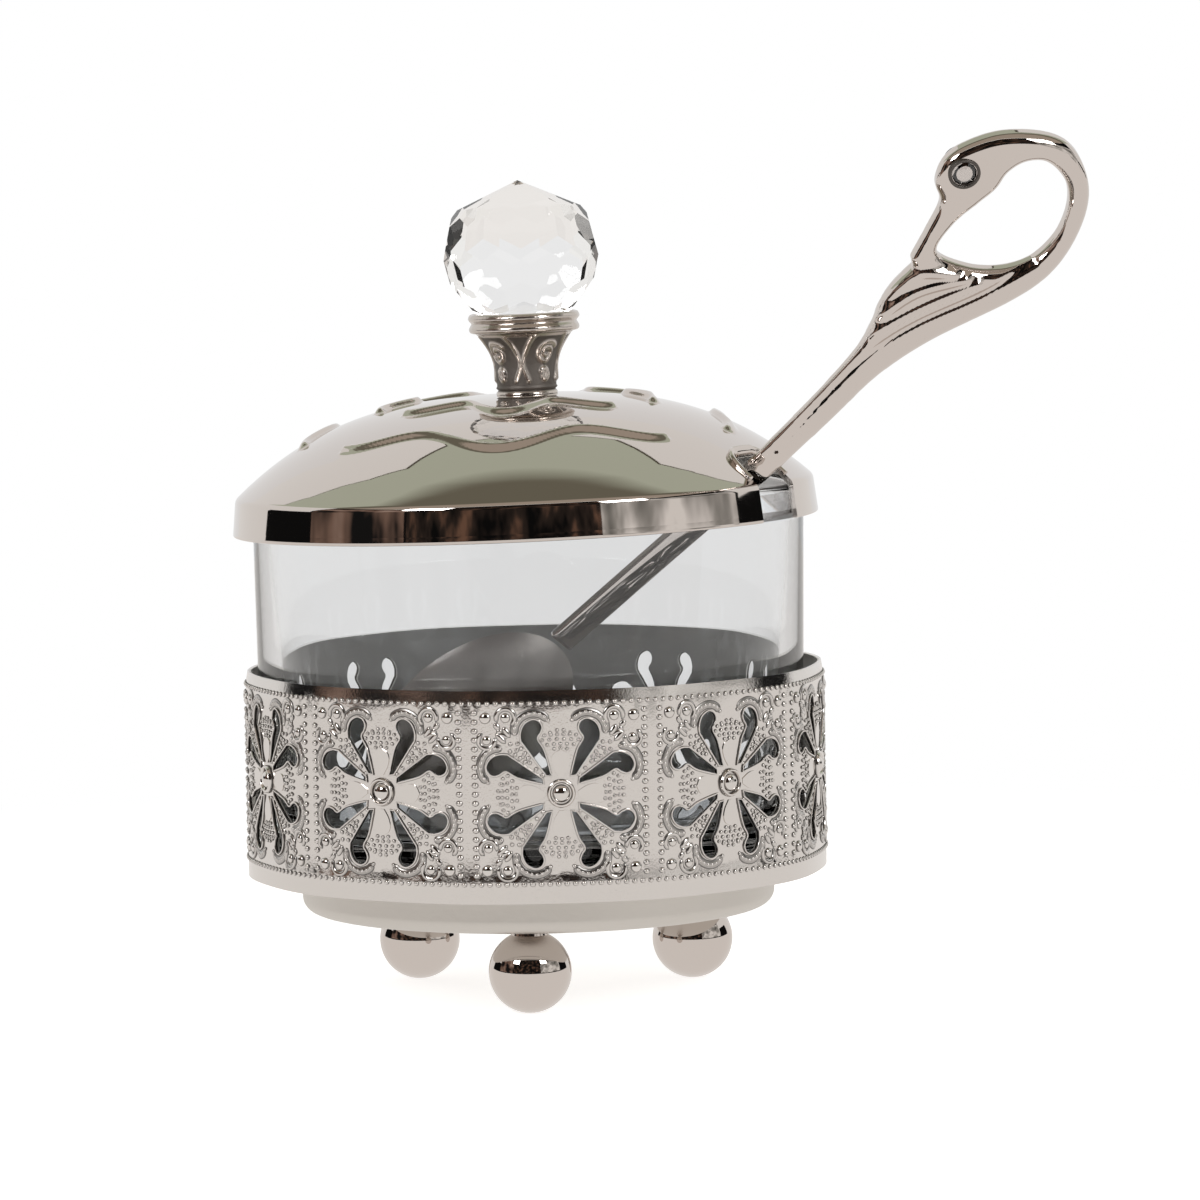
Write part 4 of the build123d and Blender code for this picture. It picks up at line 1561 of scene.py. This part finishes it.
    def _feathers(self) -> list[list[Vector]]:
        """Middle lines of the wing's feathers, each a step on from the one before."""
        return [
            [Vector(point) + Vector(step) * number for point, step in zip(self.FEATHER, self.FEATHER_STEP)]
            for number in range(self.FEATHERS)
        ]

    def _strokes(self) -> list[list[Vector]]:
        """Both ends of each engraved stroke, from its start, heading in degrees and length."""
        lines = []
        for start, heading, length in self.STROKES:
            way = Vector((cos(radians(heading)), sin(radians(heading))))
            lines.append([Vector(start), Vector(start) + way * length])
        return lines

    def _bowl(self) -> Mesh:
        """The spoon's bowl, a shallow shell whose hollow faces down."""
        sizes = self.sizes
        half_length, half_width = sizes.bowl_length / 2, sizes.bowl_width / 2
        radius = (half_width**2 + sizes.bowl_depth**2) / (2 * sizes.bowl_depth)
        limit = atan2(half_width, radius - sizes.bowl_depth)
        turns = [limit * step / 24 for step in range(25)]
        within = radius - sizes.bowl_wall
        outer = [(radius * sin(turn), radius * cos(turn)) for turn in turns]
        inner = [(within * sin(turn), within * cos(turn)) for turn in reversed(turns)]
        bm = spun(outer + inner, 96)
        drop = radius - sizes.bowl_depth
        for vert in bm.verts:
            along = vert.co.x * half_length / half_width + sizes.bowl_centre
            vert.co = Vector((along, vert.co.y, vert.co.z - drop))
        return bm

    def _bezel(self, side: int) -> Mesh:
        """Dark-seated ring round an eye.

        Args:
            side: 1 for the front face, -1 for the back.

        Returns:
            The ring.
        """
        sizes = self.sizes
        inner, outer = sizes.eye_radius + 0.05, sizes.eye_radius + 0.55
        low, high, edge = -1.2, 0.35, 0.2
        line = rounded(
            [(inner, low, 0), (outer, low, 0), (outer, high, edge), (inner, high, edge), (inner, low, 0)]
        )
        ring = spun(line[:-1], 64, closed=True)
        seat = Matrix.Translation((*sizes.eye, side * sizes.thick)) @ Matrix.Diagonal((1, 1, side, 1))
        bmesh.ops.transform(ring, matrix=seat, verts=ring.verts)
        bmesh.ops.recalc_face_normals(ring, faces=ring.faces)
        return ring


# ---------------------------------------------------------------- studio
@dataclass(frozen=True)
class Card:
    """A glowing wall of the studio, in metres.

    Attributes:
        name: Its name.
        corners: Its four corners.
        shades: What it glows with: one colour, or several with their places from 0 to 1.
        mottled: Whether the shades are blotches instead of running from front to back.
    """

    name: str
    corners: tuple[tuple[float, float, float], ...]
    shades: Color | Sequence[tuple[float, Color]]
    mottled: bool = False


@dataclass
class StudioSizes:
    """Sizes of the light tent, its lamps and the camera, in metres."""

    half_width: float = 0.5
    wall_split: float = 0.3
    wall_low: float = 0.15
    back: float = 0.95
    height: float = 0.85
    top_height: float = 0.8
    top_front: float = 0.2
    roof_height: float = 0.45
    roof_front: float = -0.34
    roof_half: float = 0.52
    roof_rim: float = 0.012
    edge_width: float = 0.02
    card_low: float = 0.03
    room: tuple[Flat, Flat, float] = ((-1.7, -1.6), (1.7, -1.6), 1.7)
    room_left: tuple[Flat, Flat, float] = ((-0.75, 0.0), (-0.7, -0.65), 0.5)
    screen: tuple[Flat, Flat, float] = ((0.48, -0.85), (0.8, 0.0), 0.4)
    blotches: float = 4.5
    blotch_detail: float = 3.0
    lamp_place: tuple[float, float, float] = (0.44, -0.51, 0.44)
    lamp_size: float = 0.22
    lamp_power: float = 1.6
    wall: Color = (0.85, 0.84, 0.82)
    back_wall: Color = (0.84, 0.84, 0.84)
    edge: Color = (1.1, 1.1, 1.05)
    rim: Color = (0.07, 0.06, 0.04)
    floor: Color = (0.84, 0.81, 0.78)
    floor_reach: float = 6.0
    paper: float = 0.9
    paper_glow: float = 0.62
    dark: float = 0.006
    lamp_aim: float = 0.06
    plain_from: float = 0.12
    plain_by: float = 0.3
    lens: float = 180.0
    distance: float = 0.982
    elevation: float = 4.54
    aim: tuple[float, float, float] = (0.0109, 0.0, 0.0636)
    roll: float = 1.0
    roof_flap: Flat = (0.09, 0.24)
    roof_dip: Flat = (0.16, 0.16)
    roof_corner: float = 0.64
    roof_curve: float = 1.6
    seam: Flat = (-0.05, 0.02)
    seam_fade: float = 0.05
    front_cloth: Color = (0.42, 0.36, 0.3)
    seam_cloth: Color = (0.17, 0.16, 0.12)
    back_cloth: Color = (0.5, 0.54, 0.44)
    room_shades: list[tuple[float, Color]] = field(default_factory=lambda: [
        (0.42, (0.005, 0.005, 0.005)), (0.55, (0.03, 0.022, 0.018)), (0.68, (0.16, 0.09, 0.06)),
    ])
    room_left_shades: list[tuple[float, Color]] = field(default_factory=lambda: [
        (0.38, (0.01, 0.01, 0.01)), (0.5, (0.2, 0.13, 0.1)), (0.66, (0.4, 0.3, 0.25)),
    ])
    screen_shades: list[tuple[float, Color]] = field(default_factory=lambda: [
        (0.34, (0.1, 0.1, 0.09)), (0.48, (0.35, 0.34, 0.32)), (0.62, (0.85, 0.83, 0.8)),
    ])


def upright_card(start: Flat, end: Flat, low: float, high: float) -> tuple[tuple[float, float, float], ...]:
    """Corners of an upright card between two places."""
    return ((*start, low), (*end, low), (*end, high), (*start, high))


def level_card(half: float, near: float, far: float, high: float) -> tuple[tuple[float, float, float], ...]:
    """Corners of a level card, from its half width, its two edges and its height."""
    return ((-half, near, high), (half, near, high), (half, far, high), (-half, far, high))


class Studio:
    """Floor, tent, lamps, world and camera."""

    def __init__(self, sizes: StudioSizes) -> None:
        """
        Args:
            sizes: Sizes of the studio.
        """
        self.sizes = sizes

    def build(self) -> None:
        """Sets the studio up."""
        for card in self._cards():
            self._card(card)
        self._floor()
        self._lamps()
        self._world()
        self._camera()

    def _cards(self) -> list[Card]:
        """The tent's walls, its bright top, and its dull roof in front of that."""
        s = self.sizes
        w, h, split, low = s.half_width, s.height, s.wall_split, s.wall_low
        cards = []
        for name, x in (("left", -w), ("right", w)):
            corners = ((x, 0, low), (x, split, low), (x, split, 0), (x, s.back, 0), (x, s.back, h), (x, 0, h))
            cards.append(Card("wall_" + name, corners, s.wall))
        cards.append(Card("wall_back", upright_card((-w, s.back), (w, s.back), 0, h), s.back_wall))
        cards.append(Card("tent_top", level_card(w, s.top_front, s.back, s.top_height), s.wall))
        cards.append(Card("roof", self._roof(0.0), self._roof_shades()))
        cards.append(Card("roof_rim", self._roof(s.roof_rim), s.rim))
        edge = level_card(s.roof_half, s.roof_front - s.edge_width, s.roof_front, s.roof_height)
        cards.append(Card("roof_edge", edge, s.edge))
        blotched = (
            ("room", s.room, s.room_shades), ("room_left", s.room_left, s.room_left_shades),
            ("screen", s.screen, s.screen_shades),
        )
        for name, (start, end, high), shades in blotched:
            cards.append(Card(name, upright_card(start, end, s.card_low, high), shades, mottled=True))
        return cards

    def _roof(self, grow: float) -> tuple[tuple[float, float, float], ...]:
        """Corners of the dull roof.

        Args:
            grow: How far its back edge is moved out, which also lifts it by as much.

        Returns:
            The corners.
        """
        s = self.sizes
        high = s.roof_height + grow
        dip, near = s.roof_dip
        edge = [s.roof_flap]
        steps = 6
        for step in range(steps + 1):
            share = step / steps
            back = near + (s.roof_corner - near) * share**s.roof_curve
            edge.append((dip + (s.roof_half - dip) * share, back))
        back = list(reversed(edge)) + [(-x, y) for x, y in edge]
        moved = [(x + (grow if x > 0 else -grow) * 0.7, y + grow, high) for x, y in back]
        return ((-s.roof_half, s.roof_front, high), (s.roof_half, s.roof_front, high), *moved)

    def _roof_shades(self) -> list[tuple[float, Color]]:
        """Front cloth, seam and back cloth, as shares of the way from 1 m in front to 1 m behind."""
        s = self.sizes
        near, far = s.seam
        shades = [
            (near - s.seam_fade, s.front_cloth), (near, s.seam_cloth),
            (far, s.seam_cloth), (far + s.seam_fade, s.back_cloth),
        ]
        return [((y + 1) / 2, color) for y, color in shades]

    def _card(self, card: Card) -> None:
        """Adds one glowing wall."""
        bm = bmesh.new()
        face = bm.faces.new([bm.verts.new(corner) for corner in card.corners])
        bmesh.ops.triangulate(bm, faces=[face])
        made = as_object(bm, card.name)
        material = bpy.data.materials.new(card.name)
        material.use_nodes = True
        nodes, link = material.node_tree.nodes, material.node_tree.links.new
        nodes.clear()
        glow = nodes.new("ShaderNodeEmission")
        if isinstance(card.shades[0], float):
            glow.inputs["Color"].default_value = (*card.shades, 1)
        else:
            place = nodes.new("ShaderNodeTexCoord")
            if card.mottled:
                share = nodes.new("ShaderNodeTexNoise")
                share.inputs["Scale"].default_value = self.sizes.blotches
                share.inputs["Detail"].default_value = self.sizes.blotch_detail
                link(place.outputs["Object"], share.inputs["Vector"])
                shared = share.outputs["Fac"]
            else:
                split = nodes.new("ShaderNodeSeparateXYZ")
                link(place.outputs["Object"], split.inputs[0])
                share = nodes.new("ShaderNodeMapRange")
                share.inputs["From Min"].default_value = -1.0
                link(split.outputs["Y"], share.inputs["Value"])
                shared = share.outputs["Result"]
            ramp = nodes.new("ShaderNodeValToRGB")
            while len(ramp.color_ramp.elements) < len(card.shades):
                ramp.color_ramp.elements.new(0.5)
            for element, (position, _) in zip(ramp.color_ramp.elements, card.shades):
                element.position = position
            for element, (_, color) in zip(ramp.color_ramp.elements, card.shades):
                element.color = (*color, 1)
            link(shared, ramp.inputs["Fac"])
            link(ramp.outputs["Color"], glow.inputs["Color"])
        out = nodes.new("ShaderNodeOutputMaterial")
        link(glow.outputs[0], out.inputs["Surface"])
        made.data.materials.append(material)
        made.visible_camera = False
        made.visible_shadow = False

    def _floor(self) -> None:
        """Adds the pale floor, which takes the shadow and looks evenly bright in reflections."""
        s = self.sizes
        bm = bmesh.new()
        bmesh.ops.create_grid(bm, x_segments=1, y_segments=1, size=s.floor_reach)
        floor = as_object(bm, "floor")
        material = bpy.data.materials.new("floor")
        material.use_nodes = True
        nodes, link = material.node_tree.nodes, material.node_tree.links.new
        nodes.clear()
        cloth = nodes.new("ShaderNodeBsdfDiffuse")
        cloth.inputs["Color"].default_value = (s.paper, s.paper, s.paper, 1)
        lift = nodes.new("ShaderNodeEmission")
        lift.inputs["Color"].default_value = (1, 1, 1, 1)
        lift.inputs["Strength"].default_value = s.paper_glow
        near = nodes.new("ShaderNodeAddShader")
        link(cloth.outputs[0], near.inputs[0])
        link(lift.outputs[0], near.inputs[1])
        place = nodes.new("ShaderNodeTexCoord")
        away = nodes.new("ShaderNodeVectorMath")
        away.operation = "LENGTH"
        link(place.outputs["Object"], away.inputs[0])
        fade = nodes.new("ShaderNodeMapRange")
        fade.interpolation_type = "SMOOTHSTEP"
        fade.inputs["From Min"].default_value = s.plain_from
        fade.inputs["From Max"].default_value = s.plain_by
        link(away.outputs["Value"], fade.inputs["Value"])
        white = nodes.new("ShaderNodeEmission")
        white.inputs["Color"].default_value = (1, 1, 1, 1)
        seen = nodes.new("ShaderNodeMixShader")
        link(fade.outputs["Result"], seen.inputs["Fac"])
        link(near.outputs[0], seen.inputs[1])
        link(white.outputs[0], seen.inputs[2])
        glow = nodes.new("ShaderNodeEmission")
        glow.inputs["Color"].default_value = (*s.floor, 1)
        path = nodes.new("ShaderNodeLightPath")
        mirrored = nodes.new("ShaderNodeMath")
        mirrored.operation = "MAXIMUM"
        link(path.outputs["Is Glossy Ray"], mirrored.inputs[0])
        link(path.outputs["Is Transmission Ray"], mirrored.inputs[1])
        mix = nodes.new("ShaderNodeMixShader")
        link(mirrored.outputs[0], mix.inputs["Fac"])
        link(seen.outputs[0], mix.inputs[1])
        link(glow.outputs[0], mix.inputs[2])
        out = nodes.new("ShaderNodeOutputMaterial")
        link(mix.outputs[0], out.inputs["Surface"])
        floor.data.materials.append(material)

    def _lamps(self) -> None:
        """Adds the two square lamps in front."""
        s = self.sizes
        for name, side in (("left", -1), ("right", 1)):
            data = bpy.data.lights.new("lamp_" + name, "AREA")
            data.size = s.lamp_size
            data.energy = s.lamp_power
            lamp = bpy.data.objects.new("lamp_" + name, data)
            place = Vector((side * s.lamp_place[0], s.lamp_place[1], s.lamp_place[2]))
            aim = Vector((0, 0, s.lamp_aim)) - place
            lamp.matrix_world = Matrix.Translation(place) @ aim.to_track_quat("-Z", "Y").to_matrix().to_4x4()
            bpy.context.scene.collection.objects.link(lamp)

    def _world(self) -> None:
        """White where the camera looks past everything, dark to every other ray."""
        world = bpy.data.worlds.new("studio")
        bpy.context.scene.world = world
        world.use_nodes = True
        nodes, link = world.node_tree.nodes, world.node_tree.links.new
        nodes.clear()
        path = nodes.new("ShaderNodeLightPath")
        dark = nodes.new("ShaderNodeBackground")
        shade = self.sizes.dark
        dark.inputs["Color"].default_value = (shade, shade, shade, 1)
        white = nodes.new("ShaderNodeBackground")
        white.inputs["Color"].default_value = (1, 1, 1, 1)
        mix = nodes.new("ShaderNodeMixShader")
        out = nodes.new("ShaderNodeOutputWorld")
        link(path.outputs["Is Camera Ray"], mix.inputs["Fac"])
        link(dark.outputs[0], mix.inputs[1])
        link(white.outputs[0], mix.inputs[2])
        link(mix.outputs[0], out.inputs["Surface"])

    def _camera(self) -> None:
        """Sets the camera."""
        s = self.sizes
        data = bpy.data.cameras.new("camera")
        data.lens = s.lens
        data.sensor_width = 36.0
        data.clip_start = 0.05
        camera = bpy.data.objects.new("camera", data)
        tilt = radians(s.elevation)
        look = Vector((0, cos(tilt), -sin(tilt)))
        place = Vector(s.aim) - look * s.distance
        upright = local_frame(place, Vector((1, 0, 0)), -look)
        camera.matrix_world = upright @ Matrix.Rotation(radians(-s.roll), 4, "Z")
        bpy.context.scene.collection.objects.link(camera)
        bpy.context.scene.camera = camera


def main() -> None:
    """Builds the object's looks and the studio."""
    logging.basicConfig(level=logging.INFO, format="%(name)s: %(message)s")
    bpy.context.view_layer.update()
    bpy.context.scene.view_settings.view_transform = "Standard"
    finishes = Finishes()
    Stand(finishes).build(StandSizes())
    PiercedBand(finishes).build(BandSizes())
    GlassBowl(finishes).build(GlassSizes())
    lid = LidSizes()
    seat = LidFrame(lid)
    Lid(finishes).build(lid, seat)
    Knob(finishes).build(KnobSizes(), seat)
    Spoon(finishes).build(SpoonSizes())
    Studio(StudioSizes()).build()


if __name__ == "__main__":
    main()
